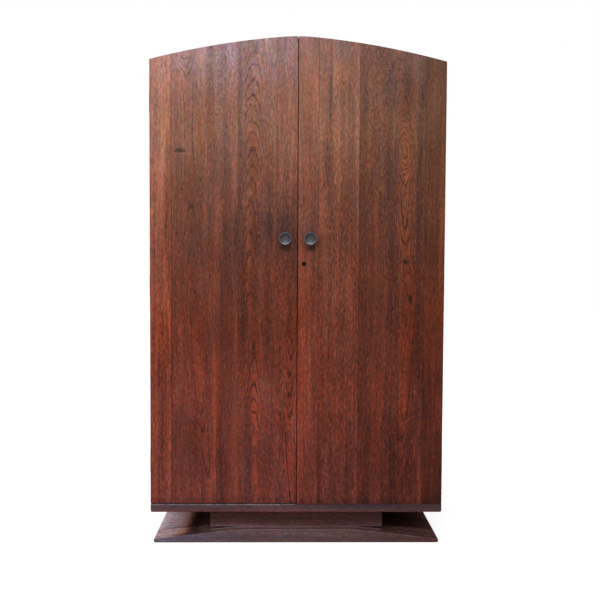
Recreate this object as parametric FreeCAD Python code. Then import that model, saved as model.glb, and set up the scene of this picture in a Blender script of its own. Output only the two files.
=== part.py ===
import FreeCAD, Part
import math
import os

os.makedirs("parts", exist_ok=True)

# A two-door wardrobe with a shallow arched top, standing on a narrower riser and a low sledge base.
# The origin is the centre of the bounding box at the floor. The doors face -Y, and +Z is up.
# All lengths are in millimetres.

# Overall sizes of the case, with its doors shut
body_width = 1067.0
body_depth = 508.0
overall_height = 1830.0

# Arched top: a small crown arc in the middle runs tangent into two flatter flank arcs
arch_rise = 85.0
crown_half_width = 60.0
crown_turn_degrees = 5.0

# Sledge base: planks side by side, whose ends slope down to thin tips
base_half_width = 520.0
base_height = 50.0
base_front_reach = 20.0
base_flat_half_width = 215.0
base_tip_height = 15.0
base_tip_round = 8.0
tip_round_share = 0.45
base_shoulder_round = 500.0
base_plank_count = 3

# Riser between the base and the case
riser_half_width = 316.0
riser_height = 55.0
riser_front_setback = 12.0
riser_back_setback = 30.0
riser_board = 24.0
glue_block_side = 32.0

# Bottom board, which runs under the doors
bottom_board_thickness = 31.0
bottom_edge_round = 9.0
edge_round_share = 0.45

# Case boards
side_thickness = 20.0
back_thickness = 10.0
back_board_count = 5
stave_thickness = 15.0
stave_count = 5
top_rail_thickness = 20.0
top_rail_depth = 55.0

# Hat shelf and hanging rail
hat_space_height = 245.0
shelf_thickness = 18.0
shelf_batten_gap = 17.0
cleat_height = 30.0
cleat_thickness = 18.0
rail_drop = 27.0
rail_radius = 12.5
rail_end_gap = 0.5
socket_radius = 22.0
socket_length = 14.0
socket_floor = 4.0
socket_clearance = 0.2

# Doors: glued-up boards with battens across the back
door_thickness = 22.0
door_meeting_gap = 2.0
door_back_gap = 1.0
left_door_lift = 3.5
right_door_lift = 0.5
left_meeting_board_width = 76.5
left_inner_board_width = 138.0
left_outer_board_width = 77.5
right_meeting_board_width = 74.0
right_inner_board_width = 146.5
right_outer_board_width = 75.5
seam_chamfer = 0.5
arris_round = 2.0
batten_width = 70.0
batten_thickness = 18.0
batten_below_keyhole = 137.0
bottom_batten_gap = 10.5
top_batten_gap = 18.0
batten_meeting_setback = 14.0
batten_side_gap = 9.0
batten_chamfer = 3.0

# Knobs: turned, with a dished face
knob_radius = 23.0
knob_projection = 28.0
knob_foot_radius = 13.0
knob_neck_radius = 9.5
knob_foot_length = 3.0
knob_neck_length = 11.0
knob_rim_thickness = 8.0
knob_lip_width = 2.5
knob_dish_depth = 5.0
flare_bulge_share = 0.3
flare_rise_share = 0.72
knob_offset = 45.0
knob_above_middle = 166.5
knob_screw_radius = 2.4
knob_screw_grip = 14.0
knob_screw_head_radius = 6.0
knob_screw_head_length = 2.6

# Rim lock behind the right door
keyhole_radius = 8.0
keyhole_offset = 22.5
keyhole_below_knob = 90.0
lock_width = 58.0
lock_height = 62.0
lock_depth = 15.0
lock_wall = 2.0
lock_hole_radius = 5.0
lock_meeting_setback = 3.0
lock_foot_below_keyhole = 17.0
key_post_radius = 2.0
lock_bolt_height = 20.0
lock_bolt_thickness = 6.0
lock_bolt_tail = 40.0
lock_bolt_above_keyhole = 22.0
lock_bolt_clearance = 0.2
keeper_length = 16.0
keeper_wall = 2.5
keeper_gap = 0.6

# Barrel bolts behind the left door
bolt_radius = 5.0
bolt_running_gap = 0.06
bolt_length = 110.0
bolt_offset = 30.0
bolt_throw = 14.0
bolt_nose_share = 0.3
bolt_tuck = 2.0
barrel_cheek = 6.0
barrel_length = 78.0
barrel_wall = 1.5
barrel_setback = 14.0
bolt_grip_radius = 2.5
bolt_grip_length = 13.0
bolt_grip_gap = 0.5
bolt_hole_gap = 0.5
bolt_hole_depth = 16.0
bolt_keeper_width = 28.0
bolt_keeper_depth = 15.0
bolt_keeper_thickness = 2.0

# Butt hinges at the joint between each door's back and the case side's front edge
hinge_length = 76.0
hinge_leaf_thickness = 2.0
hinge_leaf_gap = 0.2
hinge_case_leaf_width = 16.0
hinge_door_leaf_width = 26.0
hinge_knuckle_radius = 3.6
hinge_pin_radius = 1.8
hinge_running_gap = 0.05
hinge_knuckle_count = 5
hinge_knuckle_gap = 0.3
hinge_axis_outset = 0.5
hinge_notch_gap = 0.5
hinge_head_radius = 2.9
hinge_head_length = 2.0
bottom_hinge_rise = 151.0
middle_hinge_drop = 5.0
top_hinge_drop = 145.0

# Countersunk screws, with straight slots whose sizes are shares of the head's radius
hinge_screw_radius = 1.4
hinge_screw_head_radius = 2.9
hinge_screw_cover = 6.0
hinge_screw_spacing = 27.0
batten_screw_radius = 2.0
batten_screw_head_radius = 4.2
batten_screw_cover = 7.0
case_screw_radius = 2.5
case_screw_head_radius = 5.2
case_screw_bite = 31.0
case_screw_inset = 80.0
screw_hole_gap = 0.1
screw_recess = 0.3
slot_width_share = 0.28
slot_depth_share = 0.30

# One overrun serves all cuts
cut_overrun = 5.0

# Places that follow from the sizes above
half_width = body_width / 2
overall_depth = body_depth + knob_projection
back_y = overall_depth / 2
door_face_y = -overall_depth / 2 + knob_projection
door_back_y = door_face_y + door_thickness
case_front_y = door_back_y + door_back_gap
base_front_y = door_face_y - base_front_reach
case_bottom_z = base_height + riser_height
floor_z = case_bottom_z + bottom_board_thickness
inner_half_width = half_width - side_thickness
back_inner_y = back_y - back_thickness
corner_height = overall_height - arch_rise
top_rail_low_z = corner_height - top_rail_depth
door_middle_z = (floor_z + corner_height) / 2
meeting_x = door_meeting_gap / 2
knob_height = door_middle_z + knob_above_middle
keyhole_height = knob_height - keyhole_below_knob
shelf_top_z = corner_height - hat_space_height
shelf_front_y = door_back_y + batten_thickness + shelf_batten_gap
bolt_axis_y = (door_back_y + case_front_y + top_rail_thickness) / 2
bolt_reach = bolt_tuck + bolt_length + batten_width / 2
batten_heights = {
    "bottom": floor_z + left_door_lift + bolt_reach + bottom_batten_gap,
    "middle": keyhole_height - batten_below_keyhole,
    "top": top_rail_low_z - bolt_reach - top_batten_gap,
}
bottom_hinge_z = floor_z + bottom_hinge_rise
top_hinge_z = corner_height - top_hinge_drop
hinge_heights = {
    "bottom": bottom_hinge_z,
    "middle": (bottom_hinge_z + top_hinge_z) / 2 - middle_hinge_drop,
    "top": top_hinge_z,
}
hinge_screw_length = door_thickness - hinge_screw_cover
batten_screw_length = door_thickness + batten_thickness - batten_screw_cover
case_screw_length = bottom_board_thickness + case_screw_bite
hinge_axis_x = half_width + hinge_axis_outset
hinge_axis_y = door_back_y + door_back_gap / 2


def vec(x, y, z):
    return FreeCAD.Vector(x, y, z)


def box(x0, x1, y0, y1, z0, z1):
    return Part.makeBox(x1 - x0, y1 - y0, z1 - z0, vec(x0, y0, z0))


def rod(radius, length, start, direction):
    return Part.makeCylinder(radius, length, start, direction)


def save(name, *solids):
    shape = solids[0] if len(solids) == 1 else Part.makeCompound(list(solids))
    shape.exportStep("parts/" + name + ".step")


def mirrored(shape):
    return shape.mirror(vec(0, 0, 0), vec(1, 0, 0))


def on_side(side, shape):
    return mirrored(shape) if side == "left" else shape


# The arch: both flank arcs pass through the top corners and meet the crown arc tangent to it
crown_turn = math.radians(crown_turn_degrees)
crown_radius = crown_half_width / math.sin(crown_turn)
crown_centre_z = overall_height - crown_radius
crown_end_z = crown_centre_z + crown_radius * math.cos(crown_turn)
flank_run = half_width - crown_half_width
flank_drop = crown_end_z - corner_height
flank_sink = flank_drop * math.cos(crown_turn) - flank_run * math.sin(crown_turn)
flank_radius = (flank_run ** 2 + flank_drop ** 2) / (2 * flank_sink)
flank_centre_x = crown_half_width - flank_radius * math.sin(crown_turn)
flank_centre_z = crown_end_z - flank_radius * math.cos(crown_turn)


def arch_z(x, inset):
    """Height of the arch at x, on a line that runs inset below the outer one."""
    across = abs(x)
    if across <= (crown_radius - inset) * math.sin(crown_turn):
        return crown_centre_z + math.sqrt((crown_radius - inset) ** 2 - across ** 2)
    return flank_centre_z + math.sqrt((flank_radius - inset) ** 2 - (across - flank_centre_x) ** 2)


def arch_edges(x0, x1, inset, y):
    """Arcs along the arch from x0 to x1, split where the crown meets the flanks."""
    crown_end = (crown_radius - inset) * math.sin(crown_turn)
    stops = [x0]
    stops += [x for x in (-crown_end, crown_end) if x0 < x < x1]
    stops += [x1]
    edges = []
    for start, end in zip(stops, stops[1:]):
        points = [vec(x, y, arch_z(x, inset)) for x in (start, (start + end) / 2, end)]
        edges.append(Part.Arc(*points).toShape())
    return edges


def arched_board(x0, x1, y0, y1, z0, inset):
    """A board from z0 up to the arch, between x0 and x1."""
    low_left = vec(x0, y0, z0)
    low_right = vec(x1, y0, z0)
    edges = arch_edges(x0, x1, inset, y0)
    edges.append(Part.makeLine(vec(x1, y0, arch_z(x1, inset)), low_right))
    edges.append(Part.makeLine(low_right, low_left))
    edges.append(Part.makeLine(low_left, vec(x0, y0, arch_z(x0, inset))))
    return Part.Face(Part.Wire(Part.__sortEdges__(edges))).extrude(vec(0, y1 - y0, 0))


def edges_where(shape, test):
    return [edge for edge in shape.Edges if all(test(vertex.Point) for vertex in edge.Vertexes)]


def near(a, b):
    return abs(a - b) < body_width / 10 ** 7


def screw(radius, head_radius, length):
    """A countersunk wood screw with its head's face at the origin, pointing along +Z."""
    head_length = head_radius - radius
    tip_length = 3 * radius
    outline = [
        vec(0, 0, 0),
        vec(head_radius, 0, 0),
        vec(radius, 0, head_length),
        vec(radius, 0, length - tip_length),
        vec(0, 0, length),
        vec(0, 0, 0),
    ]
    whole = Part.Face(Part.makePolygon(outline)).revolve(vec(0, 0, 0), vec(0, 0, 1), 360)
    return whole.cut(screw_slot(head_radius))


def screw_slot(head_radius):
    """The driver's slot across a screw's head, for a head whose face is at the origin, pointing along +Z."""
    half_slot = head_radius * slot_width_share / 2
    reach = head_radius + cut_overrun
    depth = head_radius * slot_depth_share
    return box(-reach, reach, -half_slot, half_slot, -cut_overrun, depth)


def screw_hole(radius, head_radius, length):
    """The hole that a screw leaves, wider than the screw by the named gap, open at its head."""
    head_length = head_radius - radius
    outline = [
        vec(0, 0, -cut_overrun),
        vec(head_radius + screw_hole_gap, 0, -cut_overrun),
        vec(head_radius + screw_hole_gap, 0, screw_hole_gap / 2),
        vec(radius + screw_hole_gap, 0, head_length + screw_hole_gap / 2),
        vec(radius + screw_hole_gap, 0, length + screw_hole_gap),
        vec(0, 0, length + screw_hole_gap),
        vec(0, 0, -cut_overrun),
    ]
    return Part.Face(Part.makePolygon(outline)).revolve(vec(0, 0, 0), vec(0, 0, 1), 360)


def placed(shape, point, direction):
    """Turn a shape that points along +Z so that it points along direction, and move it to point."""
    copy = shape.copy()
    copy.Placement = FreeCAD.Placement(point, FreeCAD.Rotation(vec(0, 0, 1), direction))
    return copy


def base_profile(y):
    """Front outline of the base: flat in the middle, with rounded shoulders and sloping ends."""
    slope = math.atan2(base_height - base_tip_height, base_half_width - base_flat_half_width)
    shoulder = min(base_shoulder_round * math.tan(slope / 2), base_flat_half_width / 2)
    shoulder_x = base_flat_half_width + shoulder * math.cos(slope)
    shoulder_z = base_height - shoulder * math.sin(slope)
    radius = shoulder / math.tan(slope / 2)
    middle_x = base_flat_half_width - shoulder + radius * math.sin(slope / 2)
    middle_z = base_height - radius * (1 - math.cos(slope / 2))
    right = [
        Part.Arc(
            vec(base_flat_half_width - shoulder, y, base_height),
            vec(middle_x, y, middle_z),
            vec(shoulder_x, y, shoulder_z),
        ).toShape(),
        Part.makeLine(vec(shoulder_x, y, shoulder_z), vec(base_half_width, y, base_tip_height)),
        Part.makeLine(vec(base_half_width, y, base_tip_height), vec(base_half_width, y, 0)),
        Part.makeLine(vec(base_half_width, y, 0), vec(0, y, 0)),
    ]
    edges = right + [mirrored(edge) for edge in right]
    edges.append(
        Part.makeLine(
            vec(shoulder - base_flat_half_width, y, base_height),
            vec(base_flat_half_width - shoulder, y, base_height),
        )
    )
    return Part.Face(Part.Wire(Part.__sortEdges__(edges)))


def base_planks():
    """Planks side by side from front to back, all cut to the same outline."""
    depth = (back_y - base_front_y) / base_plank_count
    tip_round = min(base_tip_round, base_tip_height * tip_round_share)
    for index in range(base_plank_count):
        y0 = base_front_y + index * depth
        plank = base_profile(y0).extrude(vec(0, depth, 0))
        tips = edges_where(plank, lambda p: near(abs(p.x), base_half_width))
        plank = plank.makeFillet(tip_round, [edge for edge in tips if near(edge.Length, depth)])
        if index == 0:
            plank = plank.makeFillet(arris_round, edges_where(plank, lambda p: near(p.y, y0)))
        save("base_plank_%d" % (index + 1), plank)


def riser():
    """Four boards round a hollow middle, with a glue block in each inner corner."""
    front_y = door_face_y + riser_front_setback
    rear_y = back_y - riser_back_setback
    inner_x = riser_half_width - riser_board
    z = (base_height, case_bottom_z)
    front = box(-riser_half_width, riser_half_width, front_y, front_y + riser_board, *z)
    rear = box(-riser_half_width, riser_half_width, rear_y - riser_board, rear_y, *z)
    for hole in case_screw_pieces(screw_hole):
        front = front.cut(hole)
        rear = rear.cut(hole)
    end = box(inner_x, riser_half_width, front_y + riser_board, rear_y - riser_board, *z)
    save("riser_front_board", front)
    save("riser_back_board", rear)
    save("riser_right_end", end)
    save("riser_left_end", mirrored(end))
    blocks = []
    for x_turn in (-1, 1):
        for y_corner, y_turn in ((front_y + riser_board, 1), (rear_y - riser_board, -1)):
            corner = vec(x_turn * inner_x, y_corner, base_height)
            outline = [corner, corner - vec(x_turn * glue_block_side, 0, 0)]
            outline += [corner + vec(0, y_turn * glue_block_side, 0), corner]
            blocks.append(Part.Face(Part.makePolygon(outline)).extrude(vec(0, 0, riser_height)))
    save("riser_glue_blocks", *blocks)


def case_screw_pieces(form):
    """Screws, or their holes, that run down through the bottom board into the riser's long boards."""
    front_y = door_face_y + riser_front_setback + riser_board / 2
    rear_y = back_y - riser_back_setback - riser_board / 2
    across = riser_half_width - case_screw_inset
    pieces = []
    for x in (-across, 0, across):
        for y in (front_y, rear_y):
            piece = form(case_screw_radius, case_screw_head_radius, case_screw_length)
            pieces.append(placed(piece, vec(x, y, floor_z - screw_recess), vec(0, 0, -1)))
    return pieces


def bottom_board():
    """Full-width board under the case and the doors, rounded below along its front and sides."""
    board = box(-half_width, half_width, door_face_y, back_y, case_bottom_z, floor_z)
    low = edges_where(board, lambda p: near(p.z, case_bottom_z))
    shown = [edge for edge in low if not near(edge.CenterOfMass.y, back_y)]
    edge_round = min(bottom_edge_round, bottom_board_thickness * edge_round_share)
    board = board.makeFillet(edge_round, shown)
    top = edges_where(board, lambda p: near(p.z, floor_z) and near(p.y, door_face_y))
    board = board.makeFillet(arris_round / 2, top)
    for hole in case_screw_pieces(screw_hole):
        board = board.cut(hole)
    board = board.cut(bolt_keeper("bottom", bolt_keeper_thickness, False))
    board = board.cut(bolt_socket("bottom"))
    save("bottom_board", board)


def case_sides():
    """Both upright sides, cut to the underside of the arched top, with hinges let in."""
    side = arched_board(inner_half_width, half_width, case_front_y, back_y, floor_z, stave_thickness)
    outer = edges_where(side, lambda p: near(p.x, half_width) and near(p.y, back_y))
    side = side.makeChamfer(seam_chamfer * 2, outer)
    for z in hinge_heights.values():
        side = side.cut(hinge_recess(z, 1))
        side = side.cut(hinge_notch(z))
        for hole in hinge_screw_pieces(screw_hole, z, 1):
            side = side.cut(hole)
    save("side_right", side)
    save("side_left", mirrored(side))


def back_boards():
    """Upright boards between the sides, edge to edge, up to the underside of the arched top."""
    width = 2 * inner_half_width / back_board_count
    for index in range(back_board_count):
        x0 = -inner_half_width + index * width
        board = arched_board(x0, x0 + width, back_inner_y, back_y, floor_z, stave_thickness)
        for x in (x0, x0 + width):
            board = board.cut(seam_groove(x, back_y, 1))
        save("back_board_%d" % (index + 1), board)


def seam_groove(x, face_y, outward):
    """A fine V along a seam between two upright boards, cut into the face at face_y."""
    low = vec(x - seam_chamfer, face_y, floor_z - cut_overrun)
    tip = vec(x, face_y - outward * seam_chamfer, floor_z - cut_overrun)
    high = vec(x + seam_chamfer, face_y, floor_z - cut_overrun)
    length = overall_height - floor_z + 2 * cut_overrun
    return Part.Face(Part.makePolygon([low, tip, high, low])).extrude(vec(0, 0, length))


def top_staves():
    """Staves that run from front to back over the sides and rails, and form the arched top."""
    width = body_width / stave_count
    for index in range(stave_count):
        x0 = -half_width + index * width
        x1 = x0 + width
        outer = arch_edges(x0, x1, 0, case_front_y)
        inner = arch_edges(x0, x1, stave_thickness, case_front_y)
        ends = []
        for x in (x0, x1):
            high = vec(x, case_front_y, arch_z(x, 0))
            low = vec(x, case_front_y, arch_z(x, stave_thickness))
            ends.append(Part.makeLine(high, low))
        face = Part.Face(Part.Wire(Part.__sortEdges__(outer + inner + ends)))
        save("top_stave_%d" % (index + 1), face.extrude(vec(0, back_y - case_front_y, 0)))


def top_rails():
    """Rails with arched tops under the staves, behind the doors and in front of the back boards."""
    front_back_y = case_front_y + top_rail_thickness
    span = (-inner_half_width, inner_half_width)
    front = arched_board(*span, case_front_y, front_back_y, top_rail_low_z, stave_thickness)
    front = front.cut(bolt_keeper("top", bolt_keeper_thickness, False))
    front = front.cut(bolt_socket("top"))
    rear_y = back_inner_y - top_rail_thickness
    rear = arched_board(*span, rear_y, back_inner_y, top_rail_low_z, stave_thickness)
    save("top_front_rail", front)
    save("top_back_rail", rear)


def shelf_and_rail():
    """Hat shelf on two cleats, and the hanging rail below it in two sockets."""
    front_y = shelf_front_y
    under_z = shelf_top_z - shelf_thickness
    shelf = box(-inner_half_width, inner_half_width, front_y, back_inner_y, under_z, shelf_top_z)
    nose = edges_where(shelf, lambda p: near(p.y, front_y))
    shelf = shelf.makeFillet(arris_round, [edge for edge in nose if edge.Length > shelf_thickness * 2])
    save("hat_shelf", shelf)
    inner_x = inner_half_width - cleat_thickness
    cleat = box(inner_x, inner_half_width, front_y, back_inner_y, under_z - cleat_height, under_z)
    save("shelf_cleats", cleat, mirrored(cleat))
    rail_z = under_z - cleat_height - rail_drop
    rail_y = (front_y + back_inner_y) / 2
    socket_face_x = inner_half_width - socket_length
    socket = rod(socket_radius, socket_length, vec(socket_face_x, rail_y, rail_z), vec(1, 0, 0))
    bore_start = vec(socket_face_x - cut_overrun, rail_y, rail_z)
    bore_length = cut_overrun + socket_length - socket_floor
    socket = socket.cut(rod(rail_radius + socket_clearance, bore_length, bore_start, vec(1, 0, 0)))
    save("rail_sockets", socket, mirrored(socket))
    reach = inner_half_width - socket_floor - rail_end_gap
    save("hanging_rail", rod(rail_radius, 2 * reach, vec(-reach, rail_y, rail_z), vec(1, 0, 0)))


def hinge_recess(z, turn):
    """Shallow recess for a hinge leaf: turn is 1 in the case side's edge and -1 in the door's back."""
    width = hinge_case_leaf_width if turn == 1 else hinge_door_leaf_width
    near_y = hinge_axis_y - turn * cut_overrun
    far_y = hinge_axis_y + turn * (hinge_leaf_gap / 2 + hinge_leaf_thickness)
    y = sorted((near_y, far_y))
    z0 = z - hinge_length / 2
    return box(hinge_axis_x - width, hinge_axis_x + cut_overrun, *y, z0, z0 + hinge_length)


def hinge_notch(z):
    """Round notch that gives a hinge's knuckles room in the boards beside them."""
    radius = hinge_knuckle_radius + hinge_notch_gap
    low = z - hinge_length / 2 - hinge_notch_gap
    length = hinge_length + 2 * hinge_notch_gap + hinge_head_length
    return rod(radius, length, vec(hinge_axis_x, hinge_axis_y, low), vec(0, 0, 1))


def hinge_leaf(z, turn):
    """One leaf with its own knuckles: turn is 1 for the case leaf and -1 for the door leaf."""
    width = hinge_case_leaf_width if turn == 1 else hinge_door_leaf_width
    z0 = z - hinge_length / 2
    near_y = hinge_axis_y + turn * hinge_leaf_gap / 2
    far_y = near_y + turn * hinge_leaf_thickness
    y = sorted((near_y, far_y))
    plate_end = hinge_axis_x - hinge_knuckle_radius - hinge_notch_gap
    leaf = box(hinge_axis_x - width, plate_end, *y, z0, z0 + hinge_length)
    gaps = (hinge_knuckle_count - 1) * hinge_knuckle_gap
    knuckle = (hinge_length - gaps) / hinge_knuckle_count
    first = 0 if turn == 1 else 1
    for index in range(first, hinge_knuckle_count, 2):
        low = z0 + index * (knuckle + hinge_knuckle_gap)
        barrel = rod(hinge_knuckle_radius, knuckle, vec(hinge_axis_x, hinge_axis_y, low), vec(0, 0, 1))
        neck = box(plate_end, hinge_axis_x, *y, low, low + knuckle)
        leaf = leaf.fuse(neck).fuse(barrel)
    bore_start = vec(hinge_axis_x, hinge_axis_y, z0 - cut_overrun)
    bore_length = hinge_length + 2 * cut_overrun
    leaf = leaf.cut(rod(hinge_pin_radius + hinge_running_gap, bore_length, bore_start, vec(0, 0, 1)))
    for hole in hinge_screw_pieces(screw_hole, z, turn):
        leaf = leaf.cut(hole)
    return leaf.removeSplitter()


def hinge_screw_pieces(form, z, turn):
    """Three screws, or their holes, up the middle of a hinge leaf."""
    width = hinge_case_leaf_width if turn == 1 else hinge_door_leaf_width
    plate_end = hinge_axis_x - hinge_knuckle_radius - hinge_notch_gap
    x = (hinge_axis_x - width + plate_end) / 2
    y = hinge_axis_y + turn * hinge_leaf_gap / 2
    pieces = []
    for step in (-1, 0, 1):
        piece = form(hinge_screw_radius, hinge_screw_head_radius, hinge_screw_length)
        pieces.append(placed(piece, vec(x, y, z + step * hinge_screw_spacing), vec(0, turn, 0)))
    return pieces


def hinge_pin(z):
    """Loose pin with a flat head that rests on the top knuckle."""
    low = z - hinge_length / 2
    shaft = rod(hinge_pin_radius, hinge_length, vec(hinge_axis_x, hinge_axis_y, low), vec(0, 0, 1))
    top = vec(hinge_axis_x, hinge_axis_y, low + hinge_length)
    head = rod(hinge_head_radius, hinge_head_length, top, vec(0, 0, 1))
    return shaft.fuse(head)


def case_hinge_parts():
    leaves = [hinge_leaf(z, 1) for z in hinge_heights.values()]
    pins = [hinge_pin(z) for z in hinge_heights.values()]
    screws = [piece for z in hinge_heights.values() for piece in hinge_screw_pieces(screw, z, 1)]
    save("hinge_case_leaves", *leaves, *[mirrored(piece) for piece in leaves])
    save("hinge_pins", *pins, *[mirrored(piece) for piece in pins])
    save("hinge_case_screws", *screws, *[mirrored(piece) for piece in screws])
    save("case_screws", *case_screw_pieces(screw))


def door_seams(side):
    """Where one board ends and the next begins, from the meeting edge out to the hinged edge."""
    if side == "left":
        widths = (left_meeting_board_width, left_inner_board_width, left_outer_board_width)
    else:
        widths = (right_meeting_board_width, right_inner_board_width, right_outer_board_width)
    first = meeting_x + widths[0]
    return [meeting_x, first, first + widths[1], half_width - widths[2], half_width]


def door_boards(side):
    """Four upright boards of one door, made as a right door and mirrored for the left one."""
    lift = left_door_lift if side == "left" else right_door_lift
    slab = arched_board(meeting_x, half_width, door_face_y, door_back_y, floor_z + lift, 0)
    slab = slab.makeFillet(arris_round, edges_where(slab, lambda p: near(p.y, door_face_y)))
    for z in hinge_heights.values():
        slab = slab.cut(hinge_recess(z, -1))
        slab = slab.cut(hinge_notch(z))
        for hole in hinge_screw_pieces(screw_hole, z, -1):
            slab = slab.cut(hole)
    for hole in batten_screw_pieces(screw_hole, side):
        slab = slab.cut(hole)
    slab = slab.cut(knob_screw_hole())
    if side == "right":
        start = vec(keyhole_offset, door_face_y - cut_overrun, keyhole_height)
        slab = slab.cut(rod(keyhole_radius, door_thickness + 2 * cut_overrun, start, vec(0, 1, 0)))
    seams = door_seams(side)
    for x in seams[1:-1]:
        slab = slab.cut(seam_groove(x, door_face_y, -1))
    for name, x0, x1 in zip(("meeting", "inner", "wide", "outer"), seams, seams[1:]):
        y = (door_face_y - cut_overrun, door_back_y + cut_overrun)
        board = slab.common(box(x0, x1, *y, floor_z, overall_height + cut_overrun))
        save("%s_%s_board" % (side, name), on_side(side, board))


def batten_span():
    return meeting_x + batten_meeting_setback, inner_half_width - batten_side_gap


def battens(side):
    """Three battens across the back of a door, bevelled along their long edges."""
    x0, x1 = batten_span()
    rear_y = door_back_y + batten_thickness
    for name, z in batten_heights.items():
        batten = box(x0, x1, door_back_y, rear_y, z - batten_width / 2, z + batten_width / 2)
        batten = batten.makeChamfer(batten_chamfer, edges_where(batten, lambda p: near(p.y, rear_y)))
        for hole in batten_screw_pieces(screw_hole, side):
            batten = batten.cut(hole)
        save("%s_batten_%s" % (side, name), on_side(side, batten))


def batten_screw_pieces(form, side):
    """One screw, or its hole, where each batten crosses each board, as for a right door."""
    x0, x1 = batten_span()
    seams = door_seams(side)
    y = door_back_y + batten_thickness - screw_recess
    pieces = []
    for z in batten_heights.values():
        for low, high in zip(seams, seams[1:]):
            x = (max(low, x0) + min(high, x1)) / 2
            piece = form(batten_screw_radius, batten_screw_head_radius, batten_screw_length)
            pieces.append(placed(piece, vec(x, y, z), vec(0, -1, 0)))
    return pieces


def door_screws(side):
    pieces = [piece for z in hinge_heights.values() for piece in hinge_screw_pieces(screw, z, -1)]
    pieces += batten_screw_pieces(screw, side)
    save("%s_door_screws" % side, *[on_side(side, piece) for piece in pieces])


def door_hinge_leaves(side):
    leaves = [hinge_leaf(z, -1) for z in hinge_heights.values()]
    save("%s_hinge_leaves" % side, *[on_side(side, leaf) for leaf in leaves])


def knob_screw_hole():
    radius = knob_screw_radius + screw_hole_gap
    length = cut_overrun + door_thickness + knob_screw_grip + screw_hole_gap
    return rod(radius, length, vec(knob_offset, door_back_y + cut_overrun, knob_height), vec(0, -1, 0))


def knob(side):
    """Turned knob: foot, waist, flared underside, rounded rim and dished face."""
    foot_end = knob_foot_length
    waist = foot_end + knob_foot_radius - knob_neck_radius
    flare_start = knob_neck_length
    rim_start = knob_projection - knob_rim_thickness
    lip = knob_radius - knob_lip_width
    rim_end = knob_projection - knob_lip_width
    cove = (knob_foot_radius - knob_neck_radius) * math.cos(math.pi / 4)
    cove_mid = vec(knob_foot_radius - cove, 0, waist - cove)
    flare_mid_r = knob_neck_radius + (knob_radius - knob_neck_radius) * flare_bulge_share
    flare_mid_z = flare_start + (rim_start - flare_start) * flare_rise_share
    round_mid = knob_lip_width * math.cos(math.pi / 4)
    dish_radius = (lip ** 2 + knob_dish_depth ** 2) / (2 * knob_dish_depth)
    dish_floor = knob_projection - knob_dish_depth
    dish_mid_z = dish_floor + dish_radius - math.sqrt(dish_radius ** 2 - (lip / 2) ** 2)
    edges = [
        Part.makeLine(vec(0, 0, 0), vec(knob_foot_radius, 0, 0)),
        Part.makeLine(vec(knob_foot_radius, 0, 0), vec(knob_foot_radius, 0, foot_end)),
        Part.Arc(vec(knob_foot_radius, 0, foot_end), cove_mid, vec(knob_neck_radius, 0, waist)).toShape(),
        Part.makeLine(vec(knob_neck_radius, 0, waist), vec(knob_neck_radius, 0, flare_start)),
        Part.Arc(
            vec(knob_neck_radius, 0, flare_start),
            vec(flare_mid_r, 0, flare_mid_z),
            vec(knob_radius, 0, rim_start),
        ).toShape(),
        Part.makeLine(vec(knob_radius, 0, rim_start), vec(knob_radius, 0, rim_end)),
        Part.Arc(
            vec(knob_radius, 0, rim_end),
            vec(lip + round_mid, 0, rim_end + round_mid),
            vec(lip, 0, knob_projection),
        ).toShape(),
        Part.Arc(
            vec(lip, 0, knob_projection),
            vec(lip / 2, 0, dish_mid_z),
            vec(0, 0, dish_floor),
        ).toShape(),
        Part.makeLine(vec(0, 0, dish_floor), vec(0, 0, 0)),
    ]
    face = Part.Face(Part.Wire(Part.__sortEdges__(edges)))
    turned = face.revolve(vec(0, 0, 0), vec(0, 0, 1), 360)
    body = placed(turned, vec(knob_offset, door_face_y, knob_height), vec(0, -1, 0))
    save("%s_knob" % side, on_side(side, body.cut(knob_screw_hole())))


def knob_screw(side):
    """Round-headed screw from inside the door into the knob."""
    start = vec(knob_offset, door_back_y, knob_height)
    head = rod(knob_screw_head_radius, knob_screw_head_length, start, vec(0, 1, 0))
    head = head.makeFillet(knob_screw_head_length / 2, edges_where(
        head, lambda p: near(p.y, door_back_y + knob_screw_head_length)))
    shank = rod(knob_screw_radius, door_thickness + knob_screw_grip, start, vec(0, -1, 0))
    head_face = vec(knob_offset, door_back_y + knob_screw_head_length, knob_height)
    slot = placed(screw_slot(knob_screw_head_radius), head_face, vec(0, -1, 0))
    save("%s_knob_screw" % side, on_side(side, head.fuse(shank).cut(slot)))


def lock_bolt_span():
    """Height of the lock bolt's lower and upper edges, and depth of its front and back faces."""
    z = keyhole_height + lock_bolt_above_keyhole
    y = door_back_y + lock_depth / 2
    half_high = lock_bolt_height / 2
    half_thick = lock_bolt_thickness / 2
    return y - half_thick, y + half_thick, z - half_high, z + half_high


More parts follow.
